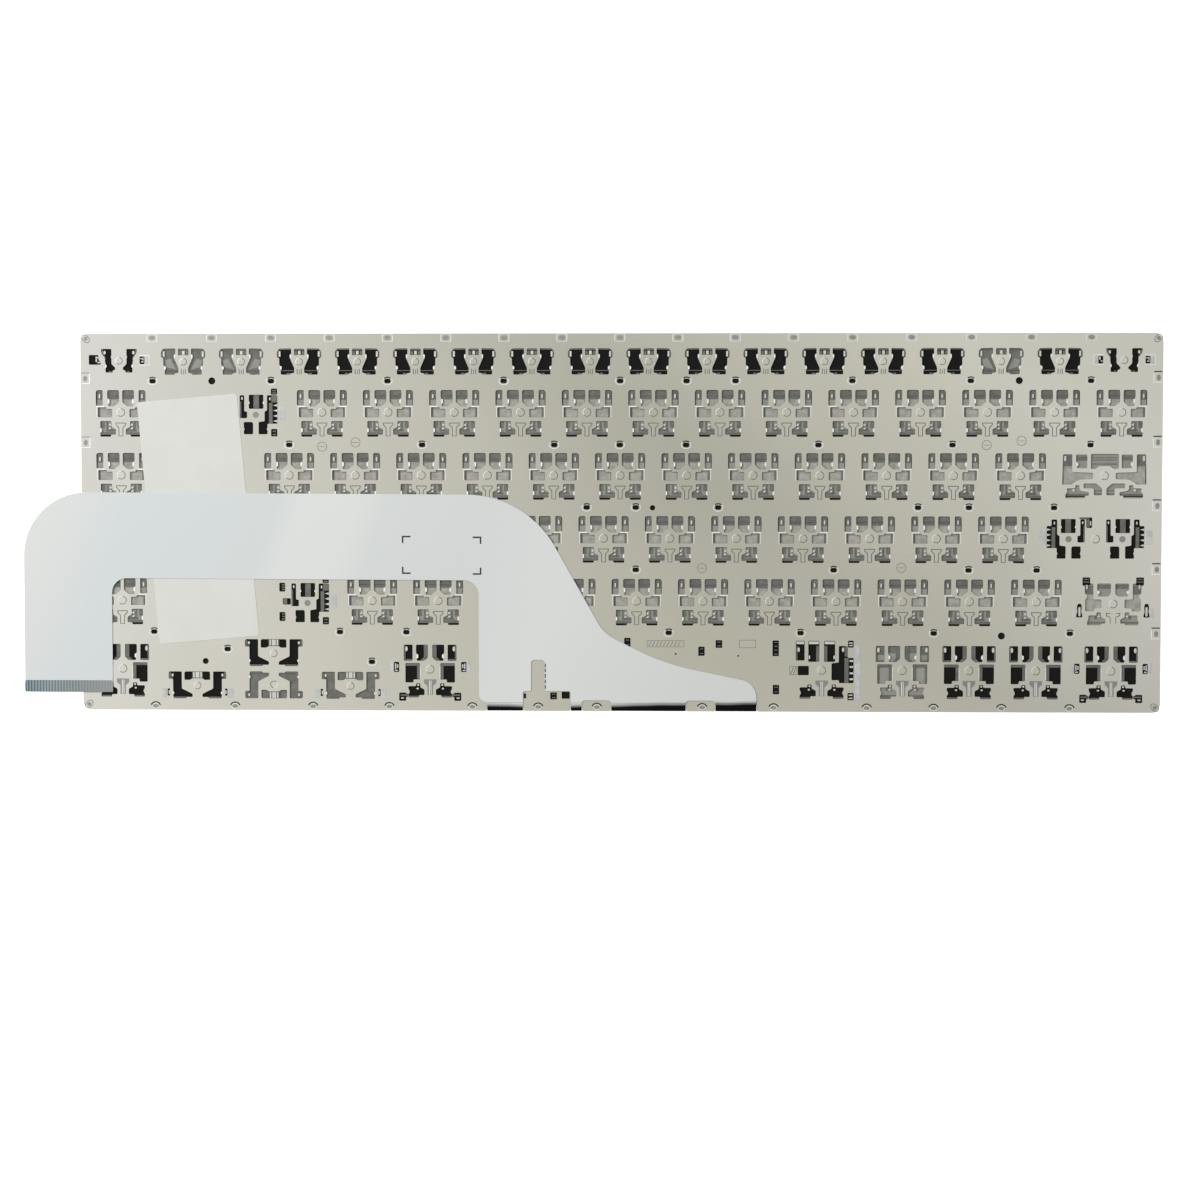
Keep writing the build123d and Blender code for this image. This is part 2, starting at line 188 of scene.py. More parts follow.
def arch(x, y, radius, thickness, start, end, points=7):
    """Band along part of a circle, between two angles in degrees."""
    angles = [math.radians(start + (end - start) * n / (points - 1)) for n in range(points)]
    outer = [(x + radius * math.cos(a), y + radius * math.sin(a)) for a in angles]
    inner = [(x + (radius - thickness) * math.cos(a), y + (radius - thickness) * math.sin(a)) for a in angles]
    return outer + inner[::-1]


def mirrored(loops):
    """Loops followed by their mirror images across the seat's centre line."""
    return loops + [[(-x, y) for x, y in loop] for loop in loops]


def flipped(seat):
    """A seat's drawing with left and right exchanged."""
    return {part: [[(-x, y) for x, y in loop] for loop in loops] for part, loops in seat.items()}


def rounded(loop, radius, steps=2):
    """Loop with its corners rounded."""
    result = []
    count = len(loop)
    for n in range(count):
        corner = Vector(loop[n])
        before = Vector(loop[n - 1]) - corner
        after = Vector(loop[(n + 1) % count]) - corner
        reach = min(radius, 0.45 * before.length, 0.45 * after.length)
        start = corner + before.normalized() * reach
        end = corner + after.normalized() * reach
        for step in range(steps + 1):
            t = step / steps
            point = start * (1 - t) ** 2 + corner * 2 * t * (1 - t) + end * t ** 2
            result.append((point.x, point.y))
    return result


# Each seat is drawn about the middle of its round mark. Cuts go through the plate. Black lies on the
# membrane, and dark and pale lie on it as painted shade and painted light. Rails stand in the openings as
# shaded metal, and hooks as painted highlights. On the plate, the light lines are painted highlights, and the
# dark marks and the press are painted shade. Glass is clear film.
# A round mark's dark arc is painted shade and its light arc painted highlight.
ROUND_MARK = {"shade_marks": [arch(0, 0, 4.4, 0.75, -130, 80, 9)], "lines": [arch(0, 0, 4.4, 0.6, 100, 212, 7)]}
SMALL_MARK = {"shade_marks": [arch(0, 0, 3.8, 0.7, -130, 80, 9)], "lines": [arch(0, 0, 3.8, 0.6, 100, 212, 7)]}
LETTER_FUNNEL = [
    [(-5.3, -10.3), (5.3, -10.3), (5.3, -12.6), (2.4, -15.6), (2.4, -24), (-2.4, -24), (-2.4, -15.6),
     (-5.3, -12.6)],
    [(-4.5, -11.1), (4.5, -11.1), (4.5, -12.3), (1.6, -15.2), (1.6, -23.4), (-1.6, -23.4), (-1.6, -15.2),
     (-4.5, -12.3)],
]
LETTER_SEAT = {
    "cuts": mirrored([
        [(-25.1, 20.9), (-23.8, 22.3), (-18.3, 22.3), (-18.3, 6.9), (-25.1, 6.9)],
        [(-23.2, 5), (-14.6, 5), (-14.6, 3.4), (-8.9, 3.4), (-8.9, -4.9), (-23.2, -4.9)],
        [(-13.5, 21.4), (-12.6, 22.3), (-2.6, 22.3), (-1.7, 21.3), (-1.7, 10.4), (-6.6, 6.2), (-12.4, 6.2),
         (-12.4, 8.6), (-11.3, 9.2), (-11.3, 13), (-13.5, 14)],
        [(-20.8, -8.8), (-9.5, -8.8), (-9.5, -14.8), (-5.2, -16.8), (-5.2, -22.4), (-10, -22.4), (-10, -24.4),
         (-20.8, -24.4), (-20.8, -20.2), (-19.4, -19.7), (-19.4, -16.1), (-20.8, -15.6)],
    ]),
    "dark": mirrored([rect(-24.2, -18, 12.6, 22.6), rect(-14, -1.4, 14.5, 22.6),
                      rect(-23.6, -21.2, -5.2, 5.4), rect(-21.2, -16.6, -15.8, -8.4),
                      rect(-14.9, -12.9, -17.2, -9.4)]),
    "black": mirrored([rect(-21.2, -4.8, -24.8, -22.6), rect(-25.5, -24.4, 6.5, 22.7)]),
    "pale": mirrored([rect(-20.8, -10.2, -4.6, 2.8), rect(-11.2, -3, 6.6, 12.4)]),
    "rails": mirrored([rect(-20.6, -5.4, -22.5, -19.9), rect(-15, -5.6, -18.6, -17.4),
                       rect(-13.2, -2, 16.5, 17.3), rect(-13.2, -2, 13.9, 14.6)]),
    "hooks": mirrored([[(-22.4, 14.8), (-21.6, 13.8), (-20.8, 14.8), (-20.8, 17.6), (-21.6, 18.8),
                        (-22.4, 17.6)],
                       oval(-11, -12.5, 1.2, 1.2, 8), oval(-11.2, -16.1, 1.3, 0.9, 8)]),
    "lines": mirrored([rect(-24.8, -16.8, 5.5, 6.4), rect(-12.9, -11.5, 9.2, 13),
                       rect(-20.9, -19.6, -19.6, -16.2), rect(-24.4, -23.9, -5, 4.9)]) + ROUND_MARK["lines"],
    "shade_marks": LETTER_FUNNEL + ROUND_MARK["shade_marks"],
}
LAST_BOOT = [(-14.3, -14.3), (-10.1, -14.3), (-10.1, -18.4), (-5.8, -20.6), (-5.8, -26.2), (-11.4, -26.2),
             (-11.4, -28.6), (-22.1, -28.6), (-22.1, -25.4), (-20.8, -23.8), (-20.8, -21.8), (-22.1, -20),
             (-22.1, -17.2), (-14.3, -17.2)]
LAST_BOOT_HOOKS = [oval(-12.2, -15.9, 1.1, 1, 8), oval(-12.8, -19.6, 1.2, 0.9, 8)]
FUNNEL = [(-6.3, -10.2), (6.3, -10.2), (6.3, -13.8), (2.8, -17.2), (2.8, -26), (-2.8, -26), (-2.8, -17.2),
          (-6.3, -13.8)]
FUNNEL_LINES = [rect(-1.1, -0.4, -25.6, -11.4), rect(0.6, 1.2, -25.6, -11.4)]
LAST_SEAT = {
    "cuts": mirrored([
        [(-26.6, 24), (-25.8, 24.8), (-17.8, 24.8), (-17.8, 8.6), (-26.6, 8.6)],
        [(-25, 6.2), (-10.4, 6.2), (-10.4, -10.4), (-16.9, -10.4), (-16.9, -13.4), (-25, -13.4)],
        [(-14.2, 24.8), (-2.3, 24.8), (-2.3, 12), (-6, 8.6), (-13.4, 8.6), (-13.4, 10.8), (-12, 11.4),
         (-12, 15), (-14.2, 16)],
        LAST_BOOT,
    ]),
    "dark": mirrored([rect(-27, -17.4, 15.5, 25.2), rect(-14.6, -2, 17.4, 25.2),
                      rect(-25.4, -22.4, -13.8, 6.6), rect(-22.5, -5.4, -29, -24.6),
                      rect(-16.6, -13, -20.6, -13.8)]),
    "rails": mirrored([rect(-26.4, -25, 9, 24), rect(-24.8, -18, 8.8, 10.2), rect(-24.9, -13.6, 3.4, 6),
                       rect(-13.4, -10.6, -10.2, 6), rect(-6.4, -2.5, 12, 24.6),
                       [(-10, 8.8), (-6.2, 8.8), (-3, 11.8), (-7, 11.8)], rect(-21.9, -11.6, -28.4, -27)]),
    "hooks": mirrored([oval(-24, 20.6, 1.3, 2.6, 10)] + LAST_BOOT_HOOKS),
    "lines": mirrored([rect(-13.8, -12.2, 11.6, 14.8),
                       rect(-10.3, -9.7, -9, 3)]) + ROUND_MARK["lines"] + FUNNEL_LINES,
    "press": [FUNNEL],
    "shade_marks": ROUND_MARK["shade_marks"],
}
FUNCTION_SEAT = {
    "cuts": mirrored([
        [(-22.3, 10), (-20.2, 13), (-8, 13.3), (-8, 7.6), (-9.5, 7.2), (-9.5, 3.8), (-5, -6.4), (-5, -11.2),
         (-8.5, -11.6), (-9.2, -12.9), (-18.6, -12.9), (-18.6, -8.4), (-17.6, -7.6), (-17.6, -4.8),
         (-20, -3.8), (-20.1, 3.8), (-22.3, 4.4)],
    ]) + [[(-5.1, 13), (5.3, 13), (5.3, 6.4), (0, 7), (-5.1, 6.4)]],
    "dark": mirrored([rect(-23, -4.4, -13.4, 13.8), [(-18.8, 1.6), (-13.4, 3.2), (-7.2, -8), (-17.4, -5.4)]]),
    "rails": mirrored([[(-22.1, 4.8), (-21.2, 4.8), (-21.2, 9.8), (-19.8, 11.9), (-8.3, 12), (-8.3, 13.1),
                        (-20.3, 12.8), (-22.1, 10)], rect(-12.6, -9.6, -12.7, -11.3),
                       rect(-18.4, -5.4, -9.3, -8.6)])
    + [rect(-4.9, 5.1, 11.4, 12.8), rect(-4.8, -2.2, 6.8, 10.6), rect(2.4, 5, 6.8, 10.6)],
    "hooks": mirrored([rect(-20.7, -18.9, 5, 10.4)]) + [rect(-1.2, 1.4, 7.3, 10.8)],
    "lines": mirrored([rect(-9.4, -8.2, 3.9, 7), rect(-19.3, -17.8, -7.4, -4.8)]) + SMALL_MARK["lines"],
    "shade_marks": [rect(-2.5, -1.7, -12.6, -7.2), rect(-0.3, 0.4, -12.6, -8), rect(1.7, 2.5, -12.6, -7.2)]
    + SMALL_MARK["shade_marks"],
}
END_BODY = [(-18.2, 11.8), (-7.7, 11.8), (-7.7, 5.5), (-8.4, 3.6), (-7.7, 2.3), (-7.7, -3.2), (-3.6, -7.3),
            (-4.3, -9.3), (-6.4, -9.6), (-6.6, -11.8), (-13.6, -11.8), (-13.6, -7.3), (-12.6, -6.6),
            (-12.6, -4.4), (-13.6, -3.4), (-14.2, 0.5), (-13.8, 2.3), (-17.7, 7.7)]
END_SEAT = {
    "cuts": mirrored([END_BODY]) + [rect(21, 25.8, -3.4, 4.2)],
    "rails": mirrored([[(-17.8, 11.4), (-16.4, 11.4), (-16.2, 7.4), (-13.4, 3.4), (-13.8, 3), (-17.4, 7.9)],
                       rect(-10.4, -8, -11.6, -10.4)]),
    "hooks": mirrored([oval(-14.6, 8.2, 1.2, 1.8, 10)])
    + [rect(21.6, 23.4, 1.6, 2.6), rect(22.6, 24.8, -1.6, -0.4), rect(23.8, 24.8, 0.4, 3.2)],
    "lines": mirrored([rect(-14, -12.8, -6.6, -4.4)]) + SMALL_MARK["lines"]
    + [rect(30.2, 30.8, -4.6, 5.6), rect(20.4, 30, 5, 5.6), rect(20.4, 30, -4.6, -4)],
    "shade_marks": SMALL_MARK["shade_marks"],
    "glass": [rect(26.4, 29.9, -3.8, 4.8)],
}
LEFT_END_SIDE = {
    "cuts": [[(-30.5, 5.7), (-20.9, 5.7), (-20.9, 1), (-18.6, -1.8), (-18.6, -3.9), (-30.5, -3.9)]],
    "hooks": [rect(-23.8, -21.4, 2.4, 4), rect(-23.6, -22.4, -1.2, 2), rect(-22, -19.4, -2.4, -1.2)],
}
RIGHT_END_SIDE = {
    "cuts": [rect(-25.8, -21, -3.4, 4.2)],
    "hooks": [rect(-25, -23.6, 0.6, 3.4), rect(-23.4, -21.8, -1.4, -0.2)],
    "lines": [rect(-30.8, -30.2, -4.6, 5.6), rect(-30, -20.4, 5, 5.6), rect(-30, -20.4, -4.6, -4)],
    "glass": [rect(-29.9, -26.4, -3.8, 4.8)],
}
PAIR_SEAT = {
    "cuts": [
        [(-16.2, 20.3), (-11.7, 20.3), (-11.7, 4), (-8.9, 4), (-8.9, -2.6), (-16.2, -2.6)],
        [(-7, 20.8), (7.6, 20.8), (7.6, 14), (6.6, 12.8), (7.6, 11.6), (7.6, 6.8), (-7, 6.8), (-7, 11.6),
         (-6, 12.8), (-7, 14)],
        [(-12.2, -6.6), (-4, -6.6), (-2.9, -7.8), (-2.9, -18.8), (-12.2, -18.8), (-12.2, -15.2),
         (-11.2, -13.8), (-12.2, -12.4)],
        [(11.4, 20.3), (17, 20.3), (17, 13.8), (21.8, 13.8), (21.8, -8.2), (11.7, -8.2), (11.7, -12.4),
         (10.7, -13.8), (11.7, -15.2), (11.7, -18.8), (2.8, -18.8), (2.8, -6.6), (8.9, -5.8), (8.9, 4),
         (11.4, 5)],
    ],
    "rails": [rect(-2.4, 3.2, 7, 20.6), rect(13.2, 16.8, -8, 12.6), rect(-16, -14.8, -2.4, 14)],
    "hooks": [oval(-14, 17.2, 0.8, 1.6, 8), oval(14.2, 16.8, 0.8, 1.6, 8)]
    + [[(17.4, y), (20.8, y - 1), (21.6, y - 1), (21.6, y + 1), (20.8, y + 1)]
       for y in (10.2, 5, -0.4, -5.6)],
    "lines": [rect(-7.4, -6.6, 11.8, 13.8), rect(7.2, 8, 11.8, 13.8)],
    "press": [oval(0, 0.7, 3.2, 3.2)],
    "glass": [rect(23.4, 29.6, 2.9, 9.4), rect(23.4, 29.6, -4.4, 2.1)],
}
GUIDED_SEAT = dict(PAIR_SEAT)
GUIDED_SEAT["cuts"] = PAIR_SEAT["cuts"][:3] + [
    [(11.4, 20.3), (21.8, 20.3), (21.8, -8.2)] + PAIR_SEAT["cuts"][3][5:]]
GUIDED_SEAT["rails"] = PAIR_SEAT["rails"] + [rect(15.6, 21.6, 13.2, 20.1)]
GUIDE_SQUARES = {
    "cuts": [rect(15.4, 21.6, 21, 27), rect(15.4, 21.6, -21, -13.6)],
    "rails": [rect(16.6, 20.4, 24.4, 25.6), rect(16.6, 20.4, 22, 23.2), rect(16.8, 20.2, -16.6, -15.4),
              rect(16.8, 20.2, -19.8, -18.6)],
}
INNER_BRACKET = {
    "cuts": [[(10.6, 22.4), (23.4, 22.4), (23.4, 11.9), (17.6, 11.9), (17.6, 20.6), (10.6, 20.6)]],
    "rails": [rect(10.8, 20.6, 20.8, 22.2), rect(18.2, 20.8, 12.4, 20.4)],
    "hooks": [rect(21.2, 22.4, 14.4, 18.6)],
}
SHIFT_BLOCKS = {
    "cuts": [rect(-28.5, -22.6, -17.6, -8.6), rect(-28.5, -22.6, 12.2, 21), rect(-25, -17, -1, 5.4)],
    "rails": [rect(-24.6, -20.8, -0.8, 5.2)]
    + [around(-24.5, y, 1.5, 0.6) for y in (-15.6, -13.1, -10.6, 14.2, 16.6, 19)],
}
TAB_SEAT = {
    "cuts": mirrored([
        [(-41.2, 21.3), (-32.1, 21.3), (-32.1, 3.5), (-11.3, 2.9), (-11.3, -3.4), (-24.3, -3.9),
         (-30.1, -6.9), (-32.1, -8.8), (-41.8, -8.8)],
        [(-28.2, 21), (-17.1, 21), (-17.1, 7.4), (-27.2, 7.4), (-27.2, 9.4), (-26, 10), (-26, 12.8),
         (-28.2, 13.8)],
        [(-20.6, -7.8), (-8.1, -7.8), (-2.2, -12.7), (-2.2, -19.5), (-10.3, -19.5), (-10.3, -12.7),
         (-20.6, -12.5)],
        [(-28.8, -9.5), (-24.7, -9.5), (-24.7, -13.5), (-23, -15.3), (-15.2, -16.6), (-15.2, -19.9),
         (-19.1, -20.3), (-19.1, -22.5), (-38.6, -22.5), (-38.6, -18.6), (-36.6, -16.6), (-37.3, -12.7),
         (-28.8, -12.7)],
    ]) + [[(-13.5, 21.7), (14.4, 21.7), (14.4, 6.8), (9, 6.8), (5.5, 9.6), (-5, 9.6), (-9, 6.8),
           (-13.5, 6.8)]],
    "dark": mirrored([rect(-41.6, -31.8, 9.6, 20.4), rect(-28.6, -16.8, 15, 19.4),
                      rect(-38.8, -15, -19.8, -18), rect(-10.6, -2, -19.8, -17.6),
                      rect(-10.6, -2, -15.6, -14.6)])
    + [rect(-12.4, 13.2, 17.4, 18.4), rect(-12.4, 13.2, 15.2, 16.2), rect(-12.4, 13.2, 11, 12.2)],
    "pale": mirrored([rect(-41.4, -11, -8.6, 8)]),
    "black": mirrored([rect(-41.6, -40.8, -8.9, 9.4), rect(-38.8, -19, -21.2, -20)]),
    "hooks": mirrored([rect(-40.2, -38, 14.6, 19.6), oval(-30.4, -14.6, 1.5, 1.3, 8)]),
    "lines": mirrored([rect(-27.9, -26.2, 10.1, 12.7)]) + ROUND_MARK["lines"],
    "shade_marks": ROUND_MARK["shade_marks"],
}
SHIFT_SEAT = {
    "cuts": mirrored([
        [(-15.8, 20.3), (-2.2, 20.3), (-2.2, 10), (-5, 7.4), (-14.8, 7.4), (-14.8, 9.6), (-13.4, 10.4),
         (-13.4, 12.8), (-15.8, 13.8)],
        [(-28.1, 17.6), (-30.6, 18.5), (-30.6, 26.5), (-22.9, 26.5), (-22.9, 20.3), (-19.7, 20.3),
         (-19.7, 4.3), (-11.5, 4.3), (-11.5, -4.3), (-18.9, -4.6), (-18.9, -7.4), (-27.7, -7.4), (-27.7, 4.6),
         (-26, 5.6), (-26, 9.4), (-28.1, 10)],
        [(-16.4, -8.6), (-11.8, -8.6), (-11.8, -13.6), (-7.4, -15.6), (-7.4, -19.7), (-12.1, -19.7),
         (-12.1, -21.4), (-25.6, -21.4), (-25.6, -17.9), (-24.4, -16), (-24.4, -11.7), (-16.4, -11.7)],
        [(-36.6, -13.6), (-36.6, -11.6), (-35.4, -8), (-36, -4), (-35.2, 0), (-31.6, 0), (-31, -4),
         (-31.6, -8), (-30.4, -11.6), (-30.4, -13.6)],
    ]),
    "dark": mirrored([rect(-28.4, -19.4, 9.6, 18), rect(-16, -2, 15, 19), rect(-25.8, -7.2, -20, -18),
                      rect(-18.4, -15.8, -15.6, -12)]),
    "pale": mirrored([rect(-27.6, -11.6, -7.2, 8.8)]),
    "black": mirrored([rect(-31, -22.6, 18.6, 27), rect(-37, -30, -14, 0.4)]),
    "rails": mirrored([rect(-29.6, -23.8, 21.4, 22.4), rect(-29.6, -23.8, 24, 25)]),
    "hooks": mirrored([oval(-26.2, 16.8, 0.9, 2.4, 10), rect(-34.4, -32.4, -12.4, -3.4),
                       oval(-14, -12.6, 1.3, 1.2, 8)]),
    "lines": mirrored([rect(-15.6, -13.6, 10.4, 12.7)]) + ROUND_MARK["lines"],
    "shade_marks": ROUND_MARK["shade_marks"] + mirrored([[(-7, -9), (-2.4, -9.4), (-2.4, -9.9), (-6.2, -9.9),
                                                (-6.2, -11.6), (-3.6, -12.4), (-2.4, -13.6), (-2.4, -20),
                                                (-3, -20), (-3, -13.8), (-4, -13), (-7, -12.2)]]),
    "glass": mirrored([rect(-40.2, -37, -13.6, -4.3)]),
}
ARROW_SEAT = {
    "cuts": mirrored([
        [(-29.2, 13.2), (-28.2, 14.2), (-16, 14.2), (-16, -3.1), (-5, -8.6), (-5, -11.7), (-11.6, -11.7),
         (-11.6, -13), (-24.3, -13), (-24.8, -9), (-23.8, -8.6), (-23.8, -6.4), (-24.8, -6), (-24.8, 6.8),
         (-29.2, 6.8)],
    ]) + [[(-13.2, 13.2), (-12.2, 14.2), (11.8, 14.2), (12.8, 13.2), (12.8, 5.7), (7, 5.7), (5.3, 7.3),
           (-5.3, 7.3), (-7.4, 5.7), (-13.2, 5.7)]],
    "dark": mirrored([[(-29.8, 14.8), (-15.4, 14.8), (-15.4, -2.6), (-4.4, -8), (-4.4, -12.2), (-11, -12.2),
                       (-11, -13.6), (-25.4, -13.6), (-25.4, 6.2), (-29.8, 6.2)]])
    + [rect(-13.8, 13.4, 5.2, 14.8)],
    "rails": mirrored([rect(-29, -27, 7, 13.4), rect(-26.8, -25, 7, 8), rect(-24.1, -12, -12.8, -11.4)])
    + [rect(-5.4, 5.4, 7.6, 14)],
    "hooks": mirrored([oval(-25.4, 10.6, 1.1, 1.6, 8), rect(-4.4, -2.8, 8, 13.8)])
    + [rect(-1.9, 1.9, 8, 13.8)],
    "lines": mirrored([rect(-25.1, -24, -8.6, -6.4)]) + SMALL_MARK["lines"],
    "shade_marks": SMALL_MARK["shade_marks"],
}
ARROW_SIDES = {
    "cuts": mirrored([rect(-30.4, -28, -10.4, -3)]),
    "black": mirrored([rect(-30.8, -27.6, -10.8, -2.6)]),
    "hooks": mirrored([rect(-29.4, -28.2, -8.6, -4.8)]),
    "glass": mirrored([rect(-36.4, -31.2, -12, -2.8)]),
}
SIDE_HOOKS = {
    "cuts": mirrored([rect(-36.6, -31.4, -2.8, 7.4),
                      [(-31.4, -23.8), (-24.4, -23.8), (-24.4, -24.8), (-22.3, -24.8), (-22.3, -28),
                       (-24.4, -28), (-24.4, -32), (-31.4, -32)]]),
    "rails": mirrored([rect(-30.2, -22.5, -27, -25.6)]),
    "black": mirrored([rect(-37, -31, -3.2, 7.8), rect(-32.8, -22.6, -32.4, -23.4)]),
    "hooks": mirrored([rect(-35.6, -33, -1.8, -0.6), rect(-35.6, -34.4, 0.4, 5.8), rect(-33.6, -32.4, 1.2, 5),
                       rect(-29.6, -26.8, -29.8, -28.6)]),
    "glass": mirrored([rect(-40.3, -37.2, -2.2, 8.4)]),
}
SPACE_SEAT = {
    "cuts": [
        rect(-26, -17.2, 9.9, 29.6), rect(-13.4, -2.4, 8.6, 29.6), rect(2.4, 13.4, 8.6, 29.6),
        rect(-23.9, -12.9, -4.9, 4.4),
        [(17.2, 24.5), (26, 24.5), (26, 12.6), (32, 12.6), (32, -12.8), (17.4, -12.8), (17.4, -9.9),
         (9.9, -9.9), (9.9, 7), (17.2, 8)],
        LAST_BOOT, [(-x, y) for x, y in LAST_BOOT],
        rect(26.4, 32, 23, 30), rect(26, 32.2, -30.1, -22.8),
    ],
    "rails": [rect(-25.8, -24.4, 10.2, 24.6), rect(-5.6, -2.6, 8.8, 24.6), rect(2.6, 5.6, 8.8, 24.6),
              rect(22.8, 27, -12.6, 12.4),
              rect(23, 25.8, 14, 24.3), rect(-21.9, -11.6, -28.4, -27), rect(11.6, 21.9, -28.4, -27)],
    "hooks": [rect(-25.4, -17.8, 26.4, 29), rect(-12.8, -3, 26.4, 29), rect(3, 12.8, 26.4, 29),
              oval(-23.2, 20.8, 1.2, 2.4, 10), oval(21.4, 20.8, 1.2, 2.4, 10)] + mirrored(LAST_BOOT_HOOKS)
    + [rect(28, 31.6, y - 1, y + 0.8) for y in (9.6, 3.6, -2.8, -8.8)]
    + [rect(27.4, 31, 27, 28.2), rect(27.4, 31, 24.6, 25.6), rect(27.2, 31, -25.6, -24.4),
       rect(27.2, 31, -28.8, -27.6)],
    "lines": [rect(-12.9, -11.9, 11.6, 14.8),
              rect(11.9, 12.9, 11.6, 14.8)] + ROUND_MARK["lines"] + FUNNEL_LINES,
    "press": [FUNNEL],
    "shade_marks": ROUND_MARK["shade_marks"] + [rect(-32.4, -24.6, -4.7, 4.2), rect(-31.9, -25.1, -4.2, 3.7)]
    + [[(x, -3.8), (x + 0.8, -3.8), (x + 3.4, 3.2), (x + 2.6, 3.2)] for x in (-31.4, -28.9)],
    "glass": [[(33.6, 25), (38.4, 25), (38.4, 6), (39, 5.4), (39, -6.6), (38.4, -7.2), (38.4, -29.6),
               (33.6, -29.6), (33.6, -7.2), (33, -6.6), (33, 5.4), (33.6, 6)]],
}

# Places of the small features, in millimetres from the plate's middle
STAKE_ROWS = {
    40.6: [-134.1, -99.9, -66.3, -32.9, 0.5, 19.5, 33.5, 66.8, 100.5, 134.6],
    22.3: [-94.7, -56.4, -18.4, 0.4, 19.4, 57.2, 95.4, 134.6],
    4.4: [-9.1, 5.0, 28.6, 85.7, 100.2, 124.4],
    -13.5: [5.0, 61.7, 100.2, 119.6],
    -31.6: [-134.2, -80.3, -61.1, 14.5, 52.3, 90.4, 129.2],
    -36.6: [-112.9],
    -40.2: [-71.1],
}
UPPER_RIVETS = [-134.2, -117.0, -99.9, -83.0, -66.3, -49.5, -32.8, -16.2, 0.4, 17.0, 33.4, 50.0, 66.8, 83.6,
                100.6, 117.6, 134.6]
LOWER_RIVETS = [-133.9, -110.8, -88.2, -66.1, -42.1, -23.1, -6.2, 24.1, 44.6, 71.3, 90.4, 109.8, 129.2]
LEFT_RIVETS = [41.4, 23.0]
RIGHT_RIVETS = [41.6, 23.2, 5.1, -13.1, -31.5]
ROUND_HOLES = [(-116.95, 40.65, 1.0), (114.25, 40.65, 1.0), (9.8, 4.3, 0.75), (109.7, -32.3, 1.0),
               (-119.3, -40.1, 0.85)]
STAMPED_RINGS = [(-85.2, 21.8), (-75.6, 23.0), (105.1, 22.3), (115.0, 23.5), (24.0, -13.0), (81.0, -12.8)]
STAMPED_BOXES = [(8.2, 18.9, -35.7, -33.8), (34.7, 39.5, -35.9, -33.6)]
# Small windows: middle x, middle y, width, height
WINDOWS = [(-18.65, -49.9, 1.9, 2.0), (-15.15, -49.7, 2.3, 2.0), (23.9, -36.9, 1.8, 2.6),
           (28.9, -34.8, 1.85, 2.2), (45.2, -36.0, 1.8, 4.5), (45.3, -47.9, 1.8, 2.7), (2.6, -34.4, 1.8, 2.6)]
PIN_HOLES = [(16.5, -37.7), (34.5, -38.2)]
PIN_RADIUS = 0.3
STAKE_HALF_WIDTH, STAKE_HALF_HEIGHT = 0.88, 0.62
# How deep marks and patches reach into the plate
SUNK = 0.02
# Middle of the lower rivets above the plate's lower edge
LOWER_RIVET_RISE = 1.15
# How far the seats lie from the middles of their keys
SEAT_SHIFTS = {
    "function": (0.3, -0.5), "left_end": (-0.4, -0.2), "right_end": (0.6, -0.2), "last": (0, -0.5),
    "arrow": (0, -0.4), "left_shift": (0.4, -0.5), "caps_lock": (7.65, -0.25), "backspace": (9.5, -0.9),
    "right_shift": (17.0, -0.9), "space": (43.6, -0.5),
}


def key_middle(node):
    """Middle of a key node in the plane of the plate, in millimetres."""
    low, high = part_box(node)
    return (low.x + high.x) / 2 / MM, (low.y + high.y) / 2 / MM


def row_measures():
    """Left and right end of the key rows, key pitch and pitch of the function keys, in millimetres."""
    settings = bpy.context.scene.plate_settings
    pitch = settings.key_pitch / MM
    margin = settings.side_margin / MM
    left = PLATE_LOW.x / MM + margin
    right = PLATE_HIGH.x / MM - margin
    return left, right, pitch, (right - left - 2 * pitch) / FUNCTION_KEYS


